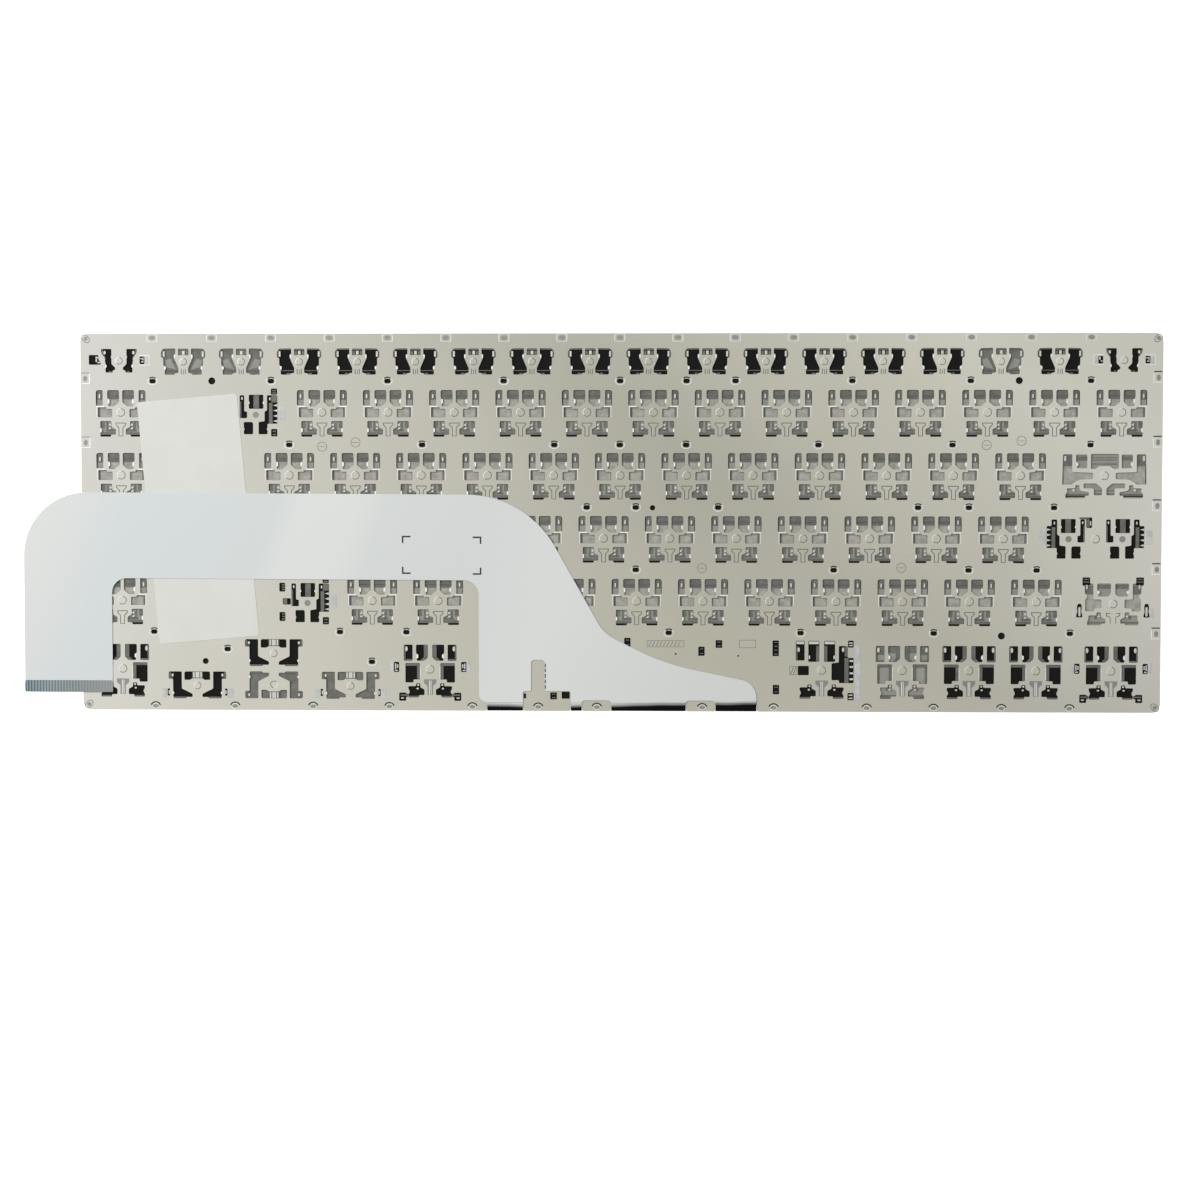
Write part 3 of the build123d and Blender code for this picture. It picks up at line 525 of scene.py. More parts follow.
def seat_places():
    """Every visible seat as a drawing, its middle, whether black shows through it, and its turn."""
    left, right, pitch, function_pitch = row_measures()
    column_x = left + pitch / 2
    number_y = key_middle("key_backspace")[1]
    last_y = key_middle("key_space")[1] + SEAT_SHIFTS["last"][1]
    seats = []

    def add(drawings, x, y, black=False, turn=1, shift=None):
        across, up = SEAT_SHIFTS.get(shift, (0, 0))
        for seat in drawings:
            seats.append((seat, x + across, y + up, black, turn))

    function_y = key_middle("function_keys")[1]
    for place in range(FUNCTION_KEYS):
        x = left + pitch + (place + 0.5) * function_pitch
        add([FUNCTION_SEAT], x, function_y, place not in (0, 1, 14), shift="function")
    add([END_SEAT, LEFT_END_SIDE], column_x, function_y, True, shift="left_end")
    add([END_SEAT, RIGHT_END_SIDE], right - pitch / 2, function_y, True, shift="right_end")
    for place in range(NUMBER_KEYS):
        add([LETTER_SEAT], right - (place + 0.5) * pitch, number_y)
    rows = ["q w e r t y u i o p left_bracket right_bracket", "a s d f g h j k",
            "angle z x c v b n m period slash"]
    for row in rows:
        for name in row.split():
            add([LETTER_SEAT], *key_middle("key_" + name))
    add([TAB_SEAT], *key_middle("key_tab"))
    for y in (number_y, key_middle("key_q")[1], key_middle("key_z")[1]):
        add([LETTER_SEAT], column_x, y)
    add([LAST_SEAT], column_x, last_y, True)
    for name in ("control", "fn", "system", "alt", "alt_graph"):
        sides = [SIDE_HOOKS] if name in ("control", "alt_graph") else []
        add([LAST_SEAT] + sides, key_middle("key_" + name)[0], last_y, name != "alt")
    add([ARROW_SEAT, ARROW_SIDES], *key_middle("key_arrow_left"), shift="arrow")
    add([ARROW_SEAT], *key_middle("key_arrow_up"), True)
    add([ARROW_SEAT, ARROW_SIDES], *key_middle("key_arrow_right"), True, shift="arrow")
    add([ARROW_SEAT], *key_middle("key_arrow_down"), turn=-1)
    add([SHIFT_SEAT], *key_middle("key_left_shift"), shift="left_shift")
    x, y = key_middle("key_caps_lock")
    across, up = SEAT_SHIFTS["caps_lock"]
    add([PAIR_SEAT], x + across, y + up, True)
    add([flipped(PAIR_SEAT), INNER_BRACKET], x - across, y + up, True)
    add([ROUND_MARK], x, y)
    add([GUIDED_SEAT, GUIDE_SQUARES], *key_middle("key_backspace"), True, shift="backspace")
    add([GUIDED_SEAT, GUIDE_SQUARES, SHIFT_BLOCKS], *key_middle("key_right_shift"), True, shift="right_shift")
    add([SPACE_SEAT], *key_middle("key_space"), True, shift="space")
    return seats


def seat_loops(part):
    """All loops of one part of the seats' drawings, in millimetres."""
    loops = []
    behind = {}
    for seat, x, y, black, turn in seat_places():
        drawn = seat.get(part, [])
        if part == "black" and black:
            drawn = []
            behind.setdefault((x, y), []).extend(sum(seat["cuts"], []))
        for loop in drawn:
            loops.append([(x + turn * px * GRID, y + turn * py * GRID) for px, py in loop])
    for (x, y), points in behind.items():
        loops.append([(x + px * GRID, y + py * GRID) for px, py in cover(points)])
    return loops


def cover(points):
    """Rectangle that covers points with a little to spare."""
    xs = [x for x, y in points]
    ys = [y for x, y in points]
    return rect(min(xs) - 0.3, max(xs) + 0.3, min(ys) - 0.3, max(ys) + 0.3)


# Modelling

def deselect():
    """Leave edit mode and deselect everything."""
    if bpy.context.object and bpy.context.object.mode != "OBJECT":
        bpy.ops.object.mode_set(mode="OBJECT")
    bpy.ops.object.select_all(action="DESELECT")


def pick(piece):
    """Make a piece the only one selected."""
    deselect()
    piece.select_set(True)
    bpy.context.view_layer.objects.active = piece


def stamp(name, loops, low, high, edge=0.0):
    """Sheet cut to closed loops, between two heights in millimetres, with its edges eased."""
    curve = bpy.data.curves.new(name, "CURVE")
    curve.dimensions = "2D"
    curve.fill_mode = "BOTH"
    curve.extrude = (high - low) / 2 - edge
    curve.bevel_depth = edge
    curve.bevel_resolution = 0
    curve.offset = -edge
    for loop in loops:
        spline = curve.splines.new("POLY")
        spline.points.add(len(loop) - 1)
        for point, (x, y) in zip(spline.points, loop):
            point.co = (x, y, 0, 1)
        spline.use_cyclic_u = True
    piece = bpy.data.objects.new(name, curve)
    bpy.context.collection.objects.link(piece)
    pick(piece)
    bpy.ops.object.convert(target="MESH")
    piece = bpy.context.object
    piece.name = name
    piece.location = (0, 0, (low + high) / 2 * MM)
    piece.scale = (MM, MM, MM)
    bpy.ops.object.transform_apply(location=True, rotation=True, scale=True)
    bpy.ops.object.mode_set(mode="EDIT")
    bpy.ops.mesh.select_all(action="SELECT")
    bpy.ops.mesh.remove_doubles(threshold=1e-6)
    bpy.ops.mesh.normals_make_consistent(inside=False)
    bpy.ops.object.mode_set(mode="OBJECT")
    if not piece.data.polygons:
        raise RuntimeError(name + " has no faces")
    return piece


def dress(piece, finish, nodes=(), body=ROOT):
    """Give a piece its finish and its body, and hide the nodes that it stands for."""
    piece.data.materials.clear()
    piece.data.materials.append(finish)
    pick(piece)
    bpy.ops.object.shade_smooth_by_angle(angle=SMOOTH_ANGLE)
    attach(piece, body)
    if nodes:
        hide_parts(*nodes)


# Finishes

def new_finish(name):
    """Empty node material and its shader."""
    finish = bpy.data.materials.new(name)
    finish.use_nodes = True
    return finish, finish.node_tree.nodes, finish.node_tree.links, finish.node_tree.nodes["Principled BSDF"]


def noise(nodes, links, scale, detail=3.0, stretch=(1, 1, 1)):
    """Noise on object coordinates."""
    place = nodes.new("ShaderNodeTexCoord")
    mapping = nodes.new("ShaderNodeMapping")
    mapping.inputs["Scale"].default_value = stretch
    texture = nodes.new("ShaderNodeTexNoise")
    texture.inputs["Scale"].default_value = scale
    texture.inputs["Detail"].default_value = detail
    links.new(place.outputs["Object"], mapping.inputs["Vector"])
    links.new(mapping.outputs["Vector"], texture.inputs["Vector"])
    return texture


def ramp(nodes, links, source, low, high, start=0.3, end=0.7):
    """Colours between two tints, by a source value."""
    node = nodes.new("ShaderNodeValToRGB")
    node.color_ramp.elements[0].position = start
    node.color_ramp.elements[0].color = (*low, 1)
    node.color_ramp.elements[1].position = end
    node.color_ramp.elements[1].color = (*high, 1)
    links.new(source, node.inputs["Fac"])
    return node


def axes(nodes, links):
    """Object coordinates, one by one."""
    place = nodes.new("ShaderNodeTexCoord")
    parts = nodes.new("ShaderNodeSeparateXYZ")
    links.new(place.outputs["Object"], parts.inputs["Vector"])
    return parts.outputs


def scaled_sum(nodes, links, source, factor, addend):
    """A value times a factor, plus another value."""
    node = nodes.new("ShaderNodeMath")
    node.operation = "MULTIPLY_ADD"
    node.inputs[1].default_value = factor
    links.new(source, node.inputs[0])
    links.new(addend, node.inputs[2])
    return node.outputs["Value"]


def mapped(nodes, links, source, start=0.0, end=1.0, low=0.0, high=1.0):
    """A value moved from one range to another."""
    node = nodes.new("ShaderNodeMapRange")
    for socket, value in (("From Min", start), ("From Max", end), ("To Min", low), ("To Max", high)):
        node.inputs[socket].default_value = value
    links.new(source, node.inputs["Value"])
    return node.outputs["Result"]


def add_relief(nodes, links, shader, height, strength, distance):
    """Let a value raise the surface."""
    relief = nodes.new("ShaderNodeBump")
    relief.inputs["Strength"].default_value = strength
    relief.inputs["Distance"].default_value = distance
    links.new(height, relief.inputs["Height"])
    links.new(relief.outputs["Normal"], shader.inputs["Normal"])


def along_piece(nodes, links, source, start, end, stops, tint):
    """Tint that changes along a piece. Each stop is a share of the way and a factor for each channel."""
    way = mapped(nodes, links, source, start, end)
    node = nodes.new("ShaderNodeValToRGB")
    elements = node.color_ramp.elements
    for place, red, green, blue in stops[1:-1]:
        elements.new(place)
    for element, (place, red, green, blue) in zip(elements, stops):
        element.position = place
        element.color = (tint[0] * red, tint[1] * green, tint[2] * blue, 1)
    links.new(way, node.inputs["Fac"])
    return node


def shade(tint, factor):
    """Tint made lighter or darker."""
    return tuple(min(1, channel * factor) for channel in tint)


def grained(name, tint, roughness, metallic=0.0, spread=0.05, patch=60, grain=2500, stretch=(1, 1, 1),
            bump=0.05, depth=0.00002, shine=0.5):
    """Finish with soft patches of colour and a fine grain in its roughness and relief."""
    finish, nodes, links, shader = new_finish(name)
    patches = noise(nodes, links, patch, 4)
    colours = ramp(nodes, links, patches.outputs["Fac"], shade(tint, 1 - spread), shade(tint, 1 + spread))
    links.new(colours.outputs["Color"], shader.inputs["Base Color"])
    fine = noise(nodes, links, grain, 2, stretch)
    low, high = max(0.02, roughness - 0.07), min(1, roughness + 0.07)
    rough = mapped(nodes, links, fine.outputs["Fac"], low=low, high=high)
    links.new(rough, shader.inputs["Roughness"])
    add_relief(nodes, links, shader, fine.outputs["Fac"], bump, depth)
    shader.inputs["Metallic"].default_value = metallic
    shader.inputs["Specular IOR Level"].default_value = shine
    return finish


def sheet_finish(tint):
    """Coated sheet metal with a fine rolled grain. Painted light makes it paler and cooler towards its left
    end, lighter towards its lower edge, and lays a band of painted sheen on a slant.
    """
    finish = grained("champagne_sheet", shade(tint, 1 / 0.72), 0.45, 0.3, 0.03, 22, 900, (1, 6, 1), 0.12,
                     0.00003)
    nodes, links = finish.node_tree.nodes, finish.node_tree.links
    shader = nodes["Principled BSDF"]
    parts = axes(nodes, links)
    slant = scaled_sum(nodes, links, parts["Y"], 1.3, parts["X"])
    # Painted light and sheen, in three gradients across the sheet.
    light_drifts = [
        along_piece(nodes, links, parts["X"], PLATE_LOW.x, PLATE_HIGH.x, [
            (0.0, 1, 1, 1), (0.26, 0.92, 0.915, 0.86), (0.55, 0.825, 0.823, 0.746),
            (0.79, 0.91, 0.903, 0.836), (1.0, 0.948, 0.937, 0.92)], (1, 1, 1)),
        along_piece(nodes, links, slant, -0.2, 0.215, [
            (0.0, 0.943, 0.926, 0.921), (0.42, 0.892, 0.875, 0.866), (0.59, 0.83, 0.823, 0.811),
            (0.75, 1.035, 1.024, 1.017), (0.88, 1.21, 1.2, 1.19), (1.0, 1.15, 1.155, 1.12)], (0.8, 0.8, 0.8)),
        along_piece(nodes, links, parts["Y"], PLATE_LOW.y, PLATE_HIGH.y, [
            (0.0, 1.08, 1.08, 1.067), (1.0, 0.924, 0.926, 0.937)], (0.9, 0.9, 0.9)),
    ]
    colour = shader.inputs["Base Color"].links[0].from_socket
    for drift in light_drifts:
        colour = multiplied(nodes, links, colour, drift.outputs["Color"])
    links.new(colour, shader.inputs["Base Color"])
    return finish


def multiplied(nodes, links, first, second):
    """Product of two colours."""
    mix = nodes.new("ShaderNodeMix")
    mix.data_type = "RGBA"
    mix.blend_type = "MULTIPLY"
    mix.inputs["Factor"].default_value = 1
    links.new(first, mix.inputs["A"])
    links.new(second, mix.inputs["B"])
    return mix.outputs["Result"]


# Operators

class KEYBOARD_OT_stage(bpy.types.Operator):
    """Floor, light and camera."""

    bl_idname = "keyboard.stage"
    bl_label = "Stage"

    def execute(self, context):
        settings = context.scene.stage_settings
        deselect()
        bpy.ops.mesh.primitive_plane_add(size=6, location=(0, 0, -FLOOR_DROP))
        floor = context.object
        floor.name = "floor"
        bpy.ops.object.transform_apply(location=True)
        paper = grained("floor_paper", settings.floor_tint, 0.9, spread=0.004, bump=0.0, shine=0.0)
        shader = paper.node_tree.nodes["Principled BSDF"]
        shader.inputs["Emission Color"].default_value = (1, 1, 1, 1)
        shader.inputs["Emission Strength"].default_value = 0.8
        floor.data.materials.append(paper)
        world = bpy.data.worlds.new("soft_room")
        world.use_nodes = True
        sky = world.node_tree.nodes["Background"]
        sky.inputs["Color"].default_value = (1, 1, 1, 1)
        sky.inputs["Strength"].default_value = 0.45
        context.scene.world = world
        for name, place, size, power in LIGHTS:
            bpy.ops.object.light_add(type="AREA", location=place)
            light = context.object
            light.name = name
            light.data.size = size
            light.data.energy = power
            aim = Vector((0, 0, 0)) - light.location
            light.rotation_euler = aim.to_track_quat("-Z", "Y").to_euler()
        bpy.ops.object.camera_add()
        camera = context.object
        camera.rotation_euler = (settings.tilt, settings.pan, 0)
        forward = camera.rotation_euler.to_matrix() @ Vector((0, 0, -1))
        camera.location = CAMERA_AIM - forward * settings.distance
        camera.data.lens = settings.lens
        camera.data.sensor_width = 36
        camera.data.clip_start = 0.01
        context.scene.camera = camera
        context.scene.view_settings.view_transform = "Standard"
        return {"FINISHED"}


class KEYBOARD_OT_plate(bpy.types.Operator):
    """Punched support plate."""

    bl_idname = "keyboard.plate"
    bl_label = "Support plate"

    def execute(self, context):
        settings = context.scene.plate_settings
        radius = settings.corner_round / MM
        edge = settings.edge_round / MM
        low, high = PLATE_LOW / MM, PLATE_HIGH / MM
        outline = plate_outline(low, high, settings.outer_corner / MM)
        loops = [outline] + [rounded(loop, radius) for loop in seat_loops("cuts")]
        for x, y, hole in ROUND_HOLES:
            loops.append(oval(x, y, hole, hole, 18))
        for x, y, width, height in WINDOWS:
            loops.append(rounded(around(x, y, width / 2, height / 2), 0.2))
        for x, y in PIN_HOLES:
            loops.append(oval(x, y, PIN_RADIUS, PIN_RADIUS, 8))
        for y, xs in STAKE_ROWS.items():
            for x in xs:
                loops.append(rounded(around(x, y, STAKE_HALF_WIDTH, STAKE_HALF_HEIGHT), 0.5, 3))
        plate = stamp("plate_sheet", loops, low.z, high.z, edge)
        dress(plate, sheet_finish(settings.plate_tint), ["support_plate"])
        return {"FINISHED"}


def plate_outline(low, high, radius):
    """Edge of the plate, with the recesses where the tail folds round it."""
    points = [(low.x, low.y)]
    for left, right in FOLDS:
        start, end = left - FOLD_CLEARANCE, right + FOLD_CLEARANCE
        inner = low.y + FOLD_RECESS
        points += [(start, low.y), (start, inner), (end, inner), (end, low.y)]
    points += [(high.x, low.y), (high.x, high.y), (low.x, high.y)]
    loop = []
    count = len(points)
    corners = {0, count - 3, count - 2, count - 1}
    for n in range(count):
        neighbours = [points[n - 1], points[n], points[(n + 1) % count]]
        size, steps = (radius, 6) if n in corners else (0.5, 3)
        loop += rounded_corner(*neighbours, size, steps)
    return loop


def rounded_corner(before, corner, after, radius, steps, reach=(0.45, 0.45)):
    """Points round one corner. It takes up at most a share of the sides before and after it."""
    corner = Vector(corner)
    back = Vector(before) - corner
    ahead = Vector(after) - corner
    start = corner + back.normalized() * min(radius, reach[0] * back.length)
    end = corner + ahead.normalized() * min(radius, reach[1] * ahead.length)
    points = []
    weight = math.cos((math.pi - back.angle(ahead)) / 2)
    for step in range(steps + 1):
        t = step / steps
        shares = ((1 - t) ** 2, 2 * weight * t * (1 - t), t ** 2)
        point = (start * shares[0] + corner * shares[1] + end * shares[2]) / sum(shares)
        points.append((point.x, point.y))
    return points


class KEYBOARD_OT_plate_marks(bpy.types.Operator):
    """Raised marks, stake rings, rivets and bent hooks of the plate, with painted highlights and painted
    shade.
    """

    bl_idname = "keyboard.plate_marks"
    bl_label = "Plate marks"

    def execute(self, context):
        settings = context.scene.plate_settings
        top = PLATE_HIGH.z / MM
        low = PLATE_LOW / MM
        high = PLATE_HIGH / MM
        # Lighter copies of the hook tint: painted highlights on the edges, the bent hooks and the rings.
        edge_finishes = [("edge_highlight_metal", 1, 0.06), ("hook_highlight_metal", 0.68, 0.06),
                         ("rim_highlight_metal", 0.85, 0.08)]
        bright, hook_highlight, rim = [grained(name, shade(settings.hook_tint, factor), 0.4, 0.2, spread, 300, 2500)
                             for name, factor, spread in edge_finishes]
        shaded = grained("shaded_metal", shade(settings.plate_tint, 0.24), 0.5, 0.2, 0.15, 500, shine=0.2)
        # Darker copy of the plate tint: painted shade in the press marks.
        pressed = grained("press_shade_metal", shade(settings.plate_tint, 0.42), 0.45, 0.3, 0.08, 200)
        dull = grained("dull_rivet", shade(settings.plate_tint, 0.45), 0.5, 0.3, 0.12, 900)
        shadow = grained("shadow_line", (0.015, 0.015, 0.013), 0.7, 0.0, 0.2, 900, shine=0.2)
        rails = seat_loops("rails") + window_slats()
        edges = seat_loops("lines") + edge_lines(low, high)
        shade_loops = seat_loops("shade_marks") + hatch_marks() + edge_shade_lines(low, high)
        layers = [
            ("opening_rails", rails, low.z + 0.01, low.z + 0.2, shaded),
            ("bent_hooks", seat_loops("hooks"), low.z + 0.02, top - 0.08, hook_highlight),
            ("bright_edges", edges, top - SUNK, top + 0.03, bright),
            ("shade_line_marks", shade_loops, top - SUNK, top + 0.012, shaded),
            ("pressed_marks", seat_loops("press"), top - SUNK, top + 0.006, pressed),
            ("shadow_lines", shadow_lines(low, high), top - SUNK, top + 0.075, shadow),
        ]
        for name, loops, bottom, height, finish in layers:
            dress(stamp(name, loops, bottom, height), finish)
        rings = []
        for y, xs in STAKE_ROWS.items():
            for x in xs:
                rings += [oval(x, y, 1.5, 1.22, 16), oval(x, y, 1.25, 0.98, 16)]
        for x in LOWER_RIVETS:
            rings += [oval(x, low.y + LOWER_RIVET_RISE, *half, 16) for half in ((1.12, 0.82), (0.92, 0.6))]
        for x in UPPER_RIVETS:
            rings += [rounded(rect(x - 1.58, x + 1.58, high.y - 2.45, high.y - 0.2), 0.6, 3),
                      rounded(rect(x - 1.32, x + 1.32, high.y - 2.32, high.y - 0.3), 0.5, 3)]
        dress(stamp("stake_rings", rings, top - SUNK, top + 0.05, 0.01), rim)
        buttons = [oval(x, low.y + LOWER_RIVET_RISE, 0.85, 0.52, 12) for x in LOWER_RIVETS]
        buttons += [oval(x, high.y - 1.25, 0.95, 0.65, 12) for x in UPPER_RIVETS]
        buttons += [oval(high.x - 1.3, y - 0.1, 0.6, 0.85, 12) for y in RIGHT_RIVETS]
        buttons += [oval(low.x + 1.4, y - 0.1, 0.6, 0.85, 12) for y in LEFT_RIVETS]
        buttons += [oval(x, y, 0.6, 0.6, 12) for x, y in corner_places(low, high)]
        dress(stamp("rivet_heads", buttons, top - SUNK, top + 0.05, 0.02), dull)
        return {"FINISHED"}


def corner_places(low, high):
    """Middles of the rivets in the plate's corners."""
    return [(low.x + 1.6, high.y - 1.5), (high.x - 1.4, high.y - 1.5), (low.x + 1.7, low.y + 1.6),
            (high.x - 1.5, low.y + 1.5)]


def edge_lines(low, high):
    """Painted highlights on the edges beside the rivets round the plate."""
    loops = []
    for y in RIGHT_RIVETS:
        loops.append(rect(high.x - 2.75, high.x - 2.5, y - 1.3, y + 1.0))
        loops.append(rect(high.x - 2.75, high.x - 0.3, y - 1.6, y - 1.4))
    for y in LEFT_RIVETS:
        loops.append(rect(low.x + 2.5, low.x + 2.75, y - 1.3, y + 1.3))
        loops.append(rect(low.x + 0.3, low.x + 2.75, y - 1.6, y - 1.4))
    return loops


def edge_shade_lines(low, high):
    """Painted shade: dark edges beside the rivets, and dark outlines of the stamped rings and the corner
    rivets.
    """
    loops = []
    for y in LEFT_RIVETS:
        loops.append(rect(low.x + 0.3, low.x + 2.6, y + 1.45, y + 1.65))
    for x, y in STAMPED_RINGS:
        loops += [oval(x, y, 1.4, 1.4, 18), oval(x, y, 1.26, 1.26, 18),
                  rect(x - 0.9, x + 0.9, y - 0.06, y + 0.06)]
    for x, y in corner_places(low, high):
        side = 1 if x * y > 0 else -1
        for long, wide in ((1.45, 0.95), (1.25, 0.78)):
            ring = oval(0, 0, long, wide, 16)
            loops.append([(x + (px + side * py) * 0.707, y + (side * px - py) * 0.707) for px, py in ring])
    return loops


def shadow_lines(low, high):
    """Dark arcs over the stakes and lower rivets, and dark lines at the side rivets and the wide tongue."""
    loops = [rect(-27.3, -26.6, -50.6, -49.2)]
    for y, xs in STAKE_ROWS.items():
        loops += [arch(x, y - 0.4, 1.66, 0.3, 52, 128) for x in xs]
    for x in LOWER_RIVETS:
        band = arch(0, 0, 1, 0.24, 12, 168, 11)
        loops.append([(x + 1.5 * px, low.y + LOWER_RIVET_RISE + 1.3 * py) for px, py in band])
    loops += [rect(high.x - 2.6, high.x - 0.3, y + 1.45, y + 1.75) for y in RIGHT_RIVETS]
    return loops


def window_slats():
    """Small slats across the narrow windows."""
    slats = []
    for x, y, width, height in WINDOWS:
        rows = round(height / 1.1) if width < 2 else 0
        for n in range(rows):
            slat_y = y - height / 2 + (n + 0.5) * height / rows
            slats.append(rect(x - 0.45, x + 0.5, slat_y - 0.12, slat_y + 0.12))
    return slats


def hatch_marks():
    """Two stamped boxes beside the tail, the first one filled with slanting strokes, all drawn in painted
    shade.
    """
    left, low, high = 8.6, -35.4, -34.1
    strokes = []
    for n in range(9):
        x = left + n * 1.05
        strokes.append([(x, low), (x + 0.2, low), (x + 0.95, high), (x + 0.75, high)])
    line = 0.12
    for left, right, low, high in STAMPED_BOXES:
        strokes += [rect(left, right, low, high), rect(left + line, right - line, low + line, high - line)]
    return strokes


class KEYBOARD_OT_membrane(bpy.types.Operator):
    """Membrane sheet behind the plate, with black prints, sheets of painted shade and painted light, black
    discs of painted shade under its round holes, and clear patches.
    """

    bl_idname = "keyboard.membrane"
    bl_label = "Membrane"

    def execute(self, context):
        settings = context.scene.plate_settings
        low, high = FILM_LOW / MM, PLATE_LOW / MM
        edge_x = PLATE_HIGH.x / MM - 1.2
        lower = PLATE_LOW.y / MM + 3.5
        upper = PLATE_HIGH.y / MM - 1.2
        sheet_loops = [rounded(rect(-edge_x, edge_x, lower, upper), 1.5, 4)]
        sheet_loops += [oval(x, y, hole + 0.4, hole + 0.4, 16) for x, y, hole in ROUND_HOLES]
        top = high.z - 0.06
        sheet = stamp("membrane_sheet", sheet_loops, low.z, top, 0.02)
        # The membrane's grey is partly its own and partly painted shade under the plate.
        grey = grained("grey_membrane", settings.seat_tint, 0.5, 0.0, 0.12, 220, 1500, shine=0.2)
        dress(sheet, grey, ["membrane"])
        black = seat_loops("black")
        for y, xs in STAKE_ROWS.items():
            black += [rect(x - 1.3, x + 1.3, y - 0.9, y + 1.6) for x in xs]
        black += [around(x, y, width / 2 + 0.1, height / 2 + 0.1) for x, y, width, height in WINDOWS]
        # Black discs under the round holes are painted shade, so that the holes look dark.
        hole_shades = [oval(x, y, hole + 0.7, hole + 0.7, 16) for x, y, hole in ROUND_HOLES]
        # Dark sheets are painted shade in the openings, and pale ones painted light.
        dark_tint, pale_tint = shade(settings.seat_tint, 0.56), shade(settings.seat_tint, 1.25)
        tones = [
            ("black_prints", black, top - 0.01, top + 0.028, (0.006, 0.006, 0.0055), 0.8),
            ("dark_shade_sheets", seat_loops("dark"), top - 0.01, top + 0.012, dark_tint, 0.5),
            ("pale_light_sheets", seat_loops("pale"), top - 0.01, top + 0.006, pale_tint, 0.5),
            ("hole_shade_discs", hole_shades, low.z - 0.05, low.z - 0.005, (0.012, 0.012, 0.01), 0.8),
        ]
        for name, loops, bottom, height, tint, rough in tones:
            finish = grained(name + "_finish", tint, rough, 0.0, 0.2, 700, 3000, shine=0.15)
            dress(stamp(name, loops, bottom, height), finish)
        plate_top = PLATE_HIGH.z / MM
        glass = [rounded(loop, 0.15) for loop in seat_loops("glass")]
        patches = stamp("clear_patches", glass, plate_top - SUNK, plate_top + 0.06, 0.03)
        dress(patches, grained("pale_film", (0.49, 0.505, 0.50), 0.3, 0.0, 0.15, 400))
        return {"FINISHED"}


TAIL_LEFT = FILM_LOW.x / MM
TAIL_LOW_Y = PLATE_LOW.y / MM
TAIL_Z = LABEL_HIGH.z / MM
TAIL_TOP = CONTACT_LOW.z / MM
TAIL_INNER = CONTACT_HIGH.x / MM
TAIL_END = CONTACT_LOW.y / MM
FILM_TAIL_TOP = TAIL_LOW_Y + 62.2
# Stretches of the plate's lower edge that the tail folds round
FOLDS = [(-37.8, -27.5), (-13.7, -10.55), (-2.05, 19.4), (27.9, 39.7)]
FOLD_RECESS = 2.3
FOLD_CLEARANCE = 0.08
# Where the fold starts above the plate's lower edge, how far it reaches, and its film in metres
FOLD_START, FOLD_REACH = 0.06, 1.6
FOLD_THICKNESS = 0.00012
LABEL_HALF_WIDTH, LABEL_HALF_LENGTH = 14.5, 35
LABEL_TURN = math.radians(5)
# Heights of the short ticks beside the slot, above the plate's lower edge
TICK_HEIGHTS = [6.4, 8.0, 9.6, 11.2, 12.6]
# Corners of the printed angles on the tail: place, and which way their arms point
ANGLE_MARKS = [(-62.3, -3.8, 1, -1), (-39.4, -4.0, -1, -1), (-62.3, -14.8, 1, 1), (-39.4, -15.0, -1, 1)]


def tail_outline():
    """Edge of the tail from its root round both legs, in millimetres."""
    low = TAIL_LOW_Y
    root = low + FOLD_RECESS
    tongue, notch, slot = low + 3.1, low + 5.75, low + 14.75
    corners = [
        ((-37.8, root), 0, 1), ((-40.2, low + 3.2), 1.5, 3), ((-40.2, low + 37.6), 4.2, 8),
        ((TAIL_INNER, low + 38.1), 4.2, 8), ((TAIL_INNER, TAIL_END), 0.3, 2), ((TAIL_LEFT, TAIL_END), 0.3, 2),
        ((TAIL_LEFT, FILM_TAIL_TOP + 0.8), 18.5, 16), ((-26.6, FILM_TAIL_TOP), 17, 14),
        ((-4.1, low + 22.3), 3.6, 5), ((13.4, low + 13.65), 9, 8), ((39.7, low + 8.25), 4.2, 6),
        ((39.7, root), 0, 1), ((27.9, root), 0, 1), ((27.9, tongue), 0.9, 3), ((19.4, tongue), 0.9, 3),
        ((19.4, root), 0, 1), ((-2.05, root), 0, 1), ((-2.05, tongue), 0.9, 3), ((-10.55, tongue), 0.9, 3),
        ((-10.55, root), 0, 1), ((-13.7, root), 0, 1), ((-13.7, notch), 0.5, 2), ((-21.2, notch), 0.4, 2),
        ((-21.2, slot), 0.9, 4), ((-25.1, slot), 0.9, 4), ((-25.1, notch), 0.4, 2), ((-27.5, notch), 0.5, 2),
        ((-27.5, root), 0, 1),
    ]
    points = [corner for corner, radius, steps in corners]
    loop = []
    count = len(points)
    for n, (corner, radius, steps) in enumerate(corners):
        if radius:
            reach = [0.45 if corners[m % count][1] else 0.98 for m in (n - 1, n + 1)]
            loop += rounded_corner(points[n - 1], corner, points[(n + 1) % count], radius, steps, reach)
        else:
            loop.append(corner)
    return loop


class KEYBOARD_OT_tail(bpy.types.Operator):
    """Film tail with its folds and corner marks."""

    bl_idname = "keyboard.tail"
    bl_label = "Flex tail"

    def execute(self, context):
        settings = context.scene.film_settings
        finish = film_finish(settings.tail_tint)
        tail = stamp("film_tail", [tail_outline()], TAIL_Z, TAIL_TOP, 0.03)
        dress(tail, finish, ["membrane"])
        bend = model_bend()
        dress(bend, finish, ["membrane"])
        marks = []
        for x, y, across, up in ANGLE_MARKS:
            marks.append([(x, y), (x + across * 2.5, y), (x + across * 2.5, y + up * 0.45),
                          (x + across * 0.45, y + up * 0.45), (x + across * 0.45, y + up * 2.1),
                          (x, y + up * 2.1)])
        for height in TICK_HEIGHTS:
            tick = TAIL_LOW_Y + height
            marks.append(rect(-21.16, -20.86, tick, tick + 1.1))
        print_piece = stamp("corner_marks", marks, TAIL_TOP - 0.005, TAIL_TOP + 0.008)
        dress(print_piece, grained("printed_black", (0.012, 0.012, 0.012), 0.6, 0.0, 0.3, 900))
        return {"FINISHED"}


